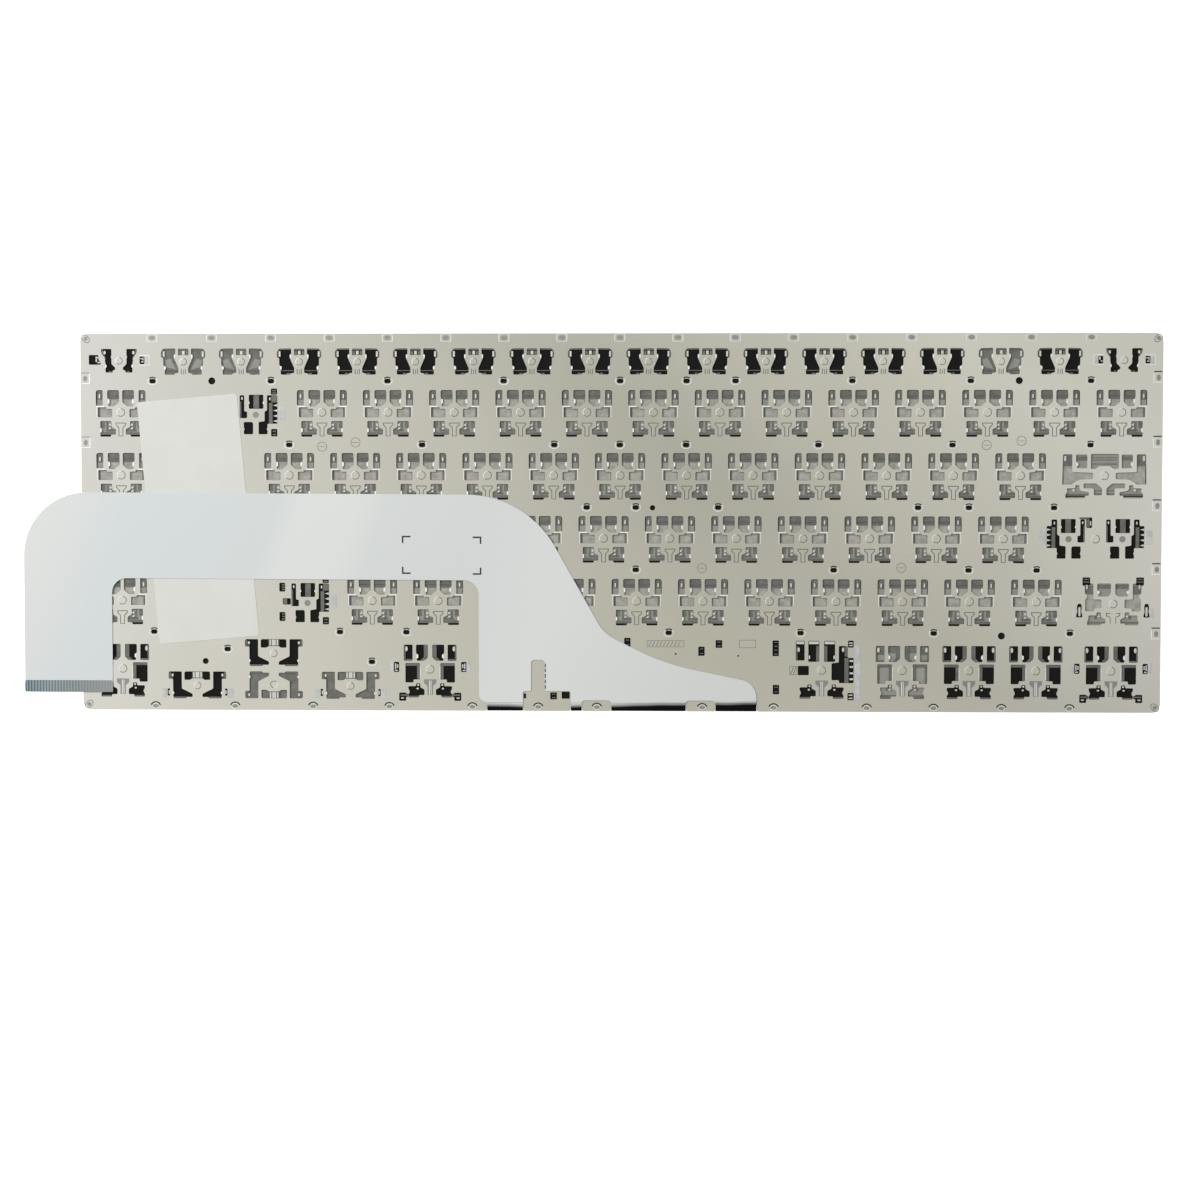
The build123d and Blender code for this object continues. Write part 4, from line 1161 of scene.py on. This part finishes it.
def film_finish(tint):
    """White film with painted sheen bands, and a painted dark reflection that turns it black round its fold.
    """
    finish, nodes, links, shader = new_finish("white_film")
    parts = axes(nodes, links)
    # Bands of painted sheen across the film, on a slant.
    slant = scaled_sum(nodes, links, parts["Y"], -0.35, parts["X"])
    painted_sheen = along_piece(nodes, links, slant, FILM_LOW.x, 0.04, [
        (0.0, 1.02, 1.01, 0.995), (0.07, 0.98, 0.985, 0.99), (0.13, 0.93, 0.965, 0.995),
        (0.25, 0.93, 0.965, 0.99), (0.34, 0.95, 0.975, 0.985), (0.37, 1.03, 1.035, 1.03),
        (0.45, 1.04, 1.04, 1.03), (0.49, 0.96, 0.975, 0.975), (0.62, 0.96, 0.97, 0.97),
        (0.76, 1.03, 1.035, 1.03), (1.0, 0.96, 0.965, 0.96)], tint)
    fold = fold_shadow(nodes, links, parts)
    colour = multiplied(nodes, links, painted_sheen.outputs["Color"], fold)
    links.new(colour, shader.inputs["Base Color"])
    gloss = mapped(nodes, links, fold, low=0.06, high=0.5)
    links.new(gloss, shader.inputs["Specular IOR Level"])
    fine = noise(nodes, links, 600, 2)
    rough = mapped(nodes, links, fine.outputs["Fac"], low=0.32, high=0.45)
    links.new(rough, shader.inputs["Roughness"])
    ripple = noise(nodes, links, 9, 1, (1, 0.4, 1))
    add_relief(nodes, links, shader, ripple.outputs["Fac"], 0.15, 0.0006)
    return finish


def fold_shadow(nodes, links, parts):
    """White on the flat film and black round its fold. The dark band waves and grows to the right."""
    wave = noise(nodes, links, 45, 2, (1, 0.0, 0.0))
    shift = scaled_sum(nodes, links, wave.outputs["Fac"], 0.0016, parts["Y"])
    widening = mapped(nodes, links, parts["X"], -0.005, 0.04, high=-0.0012)
    place = scaled_sum(nodes, links, widening, 1, shift)
    edge = TAIL_LOW_Y * MM
    height = mapped(nodes, links, place, edge + 0.0018, edge + 0.0038)
    fold = ramp(nodes, links, height, (0.006, 0.006, 0.006), (1, 1, 1), 0, 0.62)
    return fold.outputs["Color"]


def model_bend():
    """Film that turns over the plate's lower edge, between its tongues."""
    top, bottom = TAIL_TOP, PLATE_LOW.z / MM - 0.15
    middle, half = (top + bottom) / 2, (top - bottom) / 2
    rows = [(3.4, bottom)]
    for n in range(9):
        angle = math.radians(-90 + 180 * n / 8)
        y = FOLD_START + FOLD_REACH - FOLD_REACH * math.cos(angle)
        rows.append((y, middle + half * math.sin(angle)))
    rows.append((2.4, top))
    strips = []
    for fold in FOLDS:
        deselect()
        bpy.ops.mesh.primitive_grid_add(x_subdivisions=1, y_subdivisions=len(rows) - 1, size=1)
        strip = bpy.context.object
        places = [(x, y, z) for y, z in rows for x in fold]
        for vertex, (x, y, z) in zip(strip.data.vertices, places):
            vertex.co = (x * MM, (TAIL_LOW_Y + y) * MM, z * MM)
        strips.append(strip)
    bend = fuse(strips, "tail_bend")
    bpy.ops.object.mode_set(mode="EDIT")
    bpy.ops.mesh.select_all(action="SELECT")
    bpy.ops.mesh.normals_make_consistent(inside=False)
    bpy.ops.object.mode_set(mode="OBJECT")
    bpy.ops.object.modifier_add(type="SOLIDIFY")
    bend.modifiers[-1].thickness = FOLD_THICKNESS
    bend.modifiers[-1].offset = -1
    bpy.ops.object.modifier_apply(modifier=bend.modifiers[-1].name)
    return bend


class KEYBOARD_OT_contacts(bpy.types.Operator):
    """Ribbed contact end of the tail."""

    bl_idname = "keyboard.contacts"
    bl_label = "Contact end"

    def execute(self, context):
        settings = context.scene.film_settings
        low, high = CONTACT_LOW / MM, CONTACT_HIGH / MM
        pitch = settings.contact_pitch / MM
        high.y += 0.5
        outline = rounded(rect(low.x, high.x, low.y, high.y), 0.6, 3)
        base = stamp("contact_base", [outline], low.z - 0.005, low.z + 0.045, 0.01)
        film = graded_along_contacts("contact_film", settings.contact_tint, 0.4, [
            (0.0, 0.35, 0.5, 0.6), (0.25, 0.7, 0.8, 0.85), (0.6, 0.9, 0.95, 0.95), (1.0, 1.5, 1.4, 1.35)])
        dress(base, film, ["tail_stiffener"])
        count = int((high.x - low.x) / pitch)
        fingers = []
        for n in range(count):
            x = low.x + (n + 0.5) * pitch
            fingers.append(rounded(rect(x, x + pitch * 0.5, low.y + 0.15, high.y - 0.1), 0.1, 1))
        ribs = stamp("contact_fingers", fingers, low.z + 0.03, high.z - 0.002, 0.015)
        finger = graded_along_contacts("contact_finger", settings.contact_tint, 0.35, [
            (0.0, 1.2, 1.45, 1.55), (0.25, 1.7, 1.75, 1.75), (0.6, 1.6, 1.55, 1.5), (1.0, 1.55, 1.45, 1.4)])
        dress(ribs, finger)
        return {"FINISHED"}


def graded_along_contacts(name, tint, roughness, stops):
    """Grained finish whose tint changes along the contact end, darker towards its left end."""
    finish = grained(name, tint, roughness, 0.1, 0.1, 150)
    nodes, links = finish.node_tree.nodes, finish.node_tree.links
    along = axes(nodes, links)["X"]
    drift = along_piece(nodes, links, along, CONTACT_LOW.x, CONTACT_HIGH.x, stops, tint)
    links.new(drift.outputs["Color"], nodes["Principled BSDF"].inputs["Base Color"])
    return finish


class KEYBOARD_OT_label(bpy.types.Operator):
    """Blank paper label under the tail."""

    bl_idname = "keyboard.label"
    bl_label = "Label"

    def execute(self, context):
        settings = context.scene.film_settings
        middle = (LABEL_LOW + LABEL_HIGH) / 2 / MM
        corners = around(0, 0, LABEL_HALF_WIDTH, LABEL_HALF_LENGTH)
        along, across = math.cos(LABEL_TURN), math.sin(LABEL_TURN)
        loop = [(middle.x + x * along - y * across, middle.y + x * across + y * along)
                for x, y in rounded(corners, 0.8, 4)]
        label = stamp("paper_label", [loop], LABEL_LOW.z / MM + 0.001, LABEL_HIGH.z / MM - 0.002, 0.02)
        paper = grained("label_paper", settings.label_tint, 0.55, 0.0, 0.02, 120, 1400, bump=0.1)
        dress(label, paper, ["blank_label"])
        return {"FINISHED"}


def model_cap(name, width, depth, height):
    """Hollow keycap with its crown at the bottom, about its own middle, in metres."""
    settings = bpy.context.scene.key_settings
    deselect()
    bpy.ops.mesh.primitive_cube_add(size=1, location=(0, 0, height / 2))
    cap = bpy.context.object
    cap.name = name
    cap.scale = (width, depth, height)
    bpy.ops.object.transform_apply(location=True, rotation=True, scale=True)
    bpy.ops.object.mode_set(mode="EDIT")
    bpy.ops.mesh.select_mode(type="EDGE")
    select_edges(cap, lambda a, b: abs(a.x - b.x) < 1e-7 and abs(a.y - b.y) < 1e-7)
    bpy.ops.mesh.bevel(offset=settings.cap_round, segments=4)
    select_faces(cap, lambda normal, middle: normal.z < -0.9)
    share = (1 - 2 * settings.cap_taper / width, 1 - 2 * settings.cap_taper / depth, 1)
    bpy.ops.transform.resize(value=share)
    bpy.ops.mesh.inset(thickness=settings.dish_rim, depth=0)
    bpy.ops.transform.translate(value=(0, 0, settings.dish_depth))
    select_faces(cap, lambda normal, middle: normal.z > 0.9)
    bpy.ops.mesh.inset(thickness=settings.cap_wall, depth=0)
    bpy.ops.mesh.extrude_region_move(TRANSFORM_OT_translate={"value": (0, 0, -height * settings.hollow)})
    bpy.ops.object.mode_set(mode="OBJECT")
    return cap


def select_edges(piece, test):
    """Select the edges of a mesh in edit mode by the places of their ends."""
    bpy.ops.mesh.select_all(action="DESELECT")
    bpy.ops.object.mode_set(mode="OBJECT")
    vertices = piece.data.vertices
    for edge in piece.data.edges:
        edge.select = test(vertices[edge.vertices[0]].co, vertices[edge.vertices[1]].co)
    bpy.ops.object.mode_set(mode="EDIT")


def select_faces(piece, test):
    """Select the faces of a mesh in edit mode by their normal and middle."""
    bpy.ops.mesh.select_mode(type="FACE")
    bpy.ops.mesh.select_all(action="DESELECT")
    bpy.ops.object.mode_set(mode="OBJECT")
    for face in piece.data.polygons:
        face.select = test(face.normal, face.center)
    bpy.ops.object.mode_set(mode="EDIT")


def copy_to(pattern, name, x, y):
    """Copy of a piece at a place, with its own mesh and the place in it."""
    pick(pattern)
    bpy.ops.object.duplicate()
    piece = bpy.context.object
    piece.name = name
    piece.location = (x, y, 0)
    bpy.ops.object.transform_apply(location=True)
    return piece


def fuse(pieces, name):
    """Join pieces into one."""
    deselect()
    for piece in pieces:
        piece.select_set(True)
    bpy.context.view_layer.objects.active = pieces[0]
    bpy.ops.object.join()
    bpy.context.object.name = name
    return bpy.context.object


def fixed_places():
    """Middles of the fixed caps of the function keys and of the number keys, with their sizes, in metres."""
    left, right, pitch, function_pitch = (value * MM for value in row_measures())
    low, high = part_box("function_keys")
    function_y = (low.y + high.y) / 2
    depth = high.y - low.y
    cap = pitch - CAP_GAP
    function_caps = []
    for n in range(FUNCTION_KEYS):
        function_caps.append((left + pitch + (n + 0.5) * function_pitch, function_y, function_pitch - CAP_GAP,
                              depth))
    function_caps += [(x, function_y, cap, depth) for x in (left + pitch / 2, right - pitch / 2)]
    middles = {row: key_middle("key_" + row)[1] * MM for row in ("backspace", "q", "a", "z", "space")}
    row_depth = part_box("key_q")[1].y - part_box("key_q")[0].y
    last_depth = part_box("key_space")[1].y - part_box("key_space")[0].y
    number_caps = [(right - (n + 0.5) * pitch, middles["backspace"], cap,
                    row_depth) for n in range(NUMBER_KEYS)]
    number_caps += [(left + pitch / 2, middles[row], cap, row_depth) for row in ("backspace", "q", "a", "z")]
    number_caps.append((left + pitch / 2, middles["space"], cap, last_depth))
    return function_caps, number_caps


class KEYBOARD_OT_keycaps(bpy.types.Operator):
    """Keycaps of all keys."""

    bl_idname = "keyboard.keycaps"
    bl_label = "Keycaps"

    def execute(self, context):
        settings = context.scene.key_settings
        finish = grained("matte_cap", settings.cap_tint, 0.55, 0.0, 0.25, 500, 5200, bump=0.35, depth=0.00004)
        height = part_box("key_q")[1].z
        patterns = {}

        def cap_at(name, x, y, width, depth):
            size = (round(width, 5), round(depth, 5))
            if size not in patterns:
                patterns[size] = model_cap("cap_pattern", width, depth, height)
            return copy_to(patterns[size], name, x, y)

        function_caps, number_caps = fixed_places()
        for node, places in (("function_keys", function_caps), ("number_keys", number_caps)):
            caps = [cap_at("cap", *place) for place in places]
            dress(fuse(caps, node + "_caps"), finish, [node])
        for node in KEY_NODES:
            low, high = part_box(node)
            if node == "key_enter":
                cap = model_enter()
            else:
                middle, size = (low + high) / 2, high - low
                cap = cap_at("cap_" + node[4:], middle.x, middle.y, size.x, size.y)
            dress(cap, finish, [node], node)
        for pattern in patterns.values():
            bpy.data.objects.remove(pattern)
        return {"FINISHED"}


def model_enter():
    """Tall enter key: wide upper half and narrower lower half."""
    low, high = ENTER_LOW / MM, ENTER_HIGH / MM
    step_y = key_middle("key_q")[1] - (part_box("key_q")[1].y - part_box("key_q")[0].y) / MM / 2
    step_x = (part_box("key_hash")[0].x - CAP_GAP) / MM
    loop = [(low.x, low.y), (step_x, low.y), (step_x, step_y), (high.x, step_y), (high.x, high.y),
            (low.x, high.y)]
    return stamp("cap_enter", [rounded(loop, 1.3, 4)], low.z, high.z, 0.3)


class KEYBOARD_OT_mechanisms(bpy.types.Operator):
    """Rubber domes and crossed link frames under the keys."""

    bl_idname = "keyboard.mechanisms"
    bl_label = "Domes and links"

    def execute(self, context):
        low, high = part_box("rubber_domes")
        dome_finish = grained("dome_rubber", (0.22, 0.22, 0.21), 0.6, 0.0, 0.08, 600)
        link_finish = grained("link_plastic", (0.03, 0.03, 0.03), 0.4, 0.0, 0.15, 500)
        dome = model_dome(low.z, high.z)
        dome.data.materials.append(dome_finish)
        links = model_links(low.z, high.z)
        links.data.materials.append(link_finish)
        function_caps, number_caps = fixed_places()
        fixed = [copy_to(dome, "dome", x, y) for x, y, width, depth in function_caps]
        for x, y, width, depth in number_caps:
            fixed += [copy_to(dome, "dome", x, y), copy_to(links, "links", x, y)]
        settle(fuse(fixed, "fixed_mechanisms"))
        for node in KEY_NODES:
            x, y = (value * MM for value in key_middle(node))
            pieces = [copy_to(dome, "dome", x, y)]
            if not node.startswith("key_arrow"):
                pieces.append(copy_to(links, "links", x, y))
            mechanism = fuse(pieces, "mechanism_" + node[4:])
            settle(mechanism)
            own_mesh(mechanism)
        for pattern in (dome, links):
            bpy.data.objects.remove(pattern)
        return {"FINISHED"}


def settle(piece):
    """Let a mechanism ride on the frame in place of the plain domes and links."""
    pick(piece)
    bpy.ops.object.shade_smooth_by_angle(angle=SMOOTH_ANGLE)
    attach(piece, ROOT)
    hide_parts("rubber_domes", "scissor_links")


def model_dome(low, high):
    """Round rubber dome with a flange and a hollow tip."""
    deselect()
    bpy.ops.mesh.primitive_cone_add(vertices=20, radius1=0.0013, radius2=0.0023, depth=high - low,
                                    location=(0, 0, (low + high) / 2))
    dome = bpy.context.object
    dome.name = "dome_pattern"
    bpy.ops.object.transform_apply(location=True)
    bpy.ops.object.mode_set(mode="EDIT")
    select_faces(dome, lambda normal, middle: normal.z > 0.9)
    bpy.ops.mesh.extrude_region_move(TRANSFORM_OT_translate={"value": (0, 0, 0)})
    bpy.ops.transform.resize(value=(1.17, 1.17, 1))
    select_faces(dome, lambda normal, middle: normal.z < -0.9 and middle.z < (low + high) / 2)
    bpy.ops.mesh.inset(thickness=0.0005, depth=0)
    bpy.ops.transform.translate(value=(0, 0, 0.0003))
    bpy.ops.object.mode_set(mode="OBJECT")
    return dome


def model_links(low, high):
    """Two crossed rectangular frames."""
    settings = bpy.context.scene.key_settings
    frames = []
    slope = math.atan2(high - low - settings.link_bar, LINK_FRAMES[0][1])
    for width, depth, lean in LINK_FRAMES:
        deselect()
        bpy.ops.mesh.primitive_cube_add(size=1, location=(0, 0, 0))
        link = bpy.context.object
        link.scale = (width, depth, settings.link_thickness)
        bpy.ops.object.transform_apply(scale=True)
        bpy.ops.object.mode_set(mode="EDIT")
        select_faces(link, lambda normal, middle: abs(normal.z) > 0.9)
        bpy.ops.mesh.inset(thickness=settings.link_bar, depth=0, use_individual=True)
        bpy.ops.mesh.bridge_edge_loops()
        bpy.ops.object.mode_set(mode="OBJECT")
        link.rotation_euler = (lean * slope, 0, 0)
        link.location = (0, 0, (low + high) / 2)
        bpy.ops.object.transform_apply(location=True, rotation=True)
        frames.append(link)
    return fuse(frames, "links_pattern")


class KEYBOARD_OT_bars(bpy.types.Operator):
    """Finish of the stabiliser bars."""

    bl_idname = "keyboard.bars"
    bl_label = "Stabiliser bars"

    def execute(self, context):
        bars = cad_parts["stabiliser_bars"]
        wire = grained("drawn_wire", (0.45, 0.45, 0.44), 0.3, 1.0, 0.05, 300, 3000, (8, 1, 1))
        bars.data.materials.clear()
        bars.data.materials.append(wire)
        return {"FINISHED"}


class KEYBOARD_PT_panel(bpy.types.Panel):
    """Lists the keyboard's pieces."""

    bl_idname = "KEYBOARD_PT_panel"
    bl_label = "Keyboard"
    bl_space_type = "VIEW_3D"
    bl_region_type = "UI"
    bl_category = "Keyboard"

    def draw(self, context):
        for operator in OPERATORS:
            self.layout.operator(operator.bl_idname)


SETTINGS = {
    "plate_settings": PlateSettings,
    "film_settings": FilmSettings,
    "key_settings": KeySettings,
    "stage_settings": StageSettings,
}
OPERATORS = [
    KEYBOARD_OT_stage, KEYBOARD_OT_plate, KEYBOARD_OT_plate_marks, KEYBOARD_OT_membrane, KEYBOARD_OT_tail,
    KEYBOARD_OT_contacts, KEYBOARD_OT_label, KEYBOARD_OT_keycaps, KEYBOARD_OT_mechanisms, KEYBOARD_OT_bars,
]


def register():
    for name, group in SETTINGS.items():
        bpy.utils.register_class(group)
        setattr(bpy.types.Scene, name, bpy.props.PointerProperty(type=group))
    for operator in OPERATORS:
        bpy.utils.register_class(operator)
    bpy.utils.register_class(KEYBOARD_PT_panel)


def unregister():
    bpy.utils.unregister_class(KEYBOARD_PT_panel)
    for operator in reversed(OPERATORS):
        bpy.utils.unregister_class(operator)
    for name, group in SETTINGS.items():
        delattr(bpy.types.Scene, name)
        bpy.utils.unregister_class(group)


def main():
    register()
    bpy.ops.keyboard.stage()
    bpy.ops.keyboard.plate()
    bpy.ops.keyboard.plate_marks()
    bpy.ops.keyboard.membrane()
    bpy.ops.keyboard.tail()
    bpy.ops.keyboard.contacts()
    bpy.ops.keyboard.label()
    bpy.ops.keyboard.keycaps()
    bpy.ops.keyboard.mechanisms()
    bpy.ops.keyboard.bars()


if __name__ == "__main__":
    main()
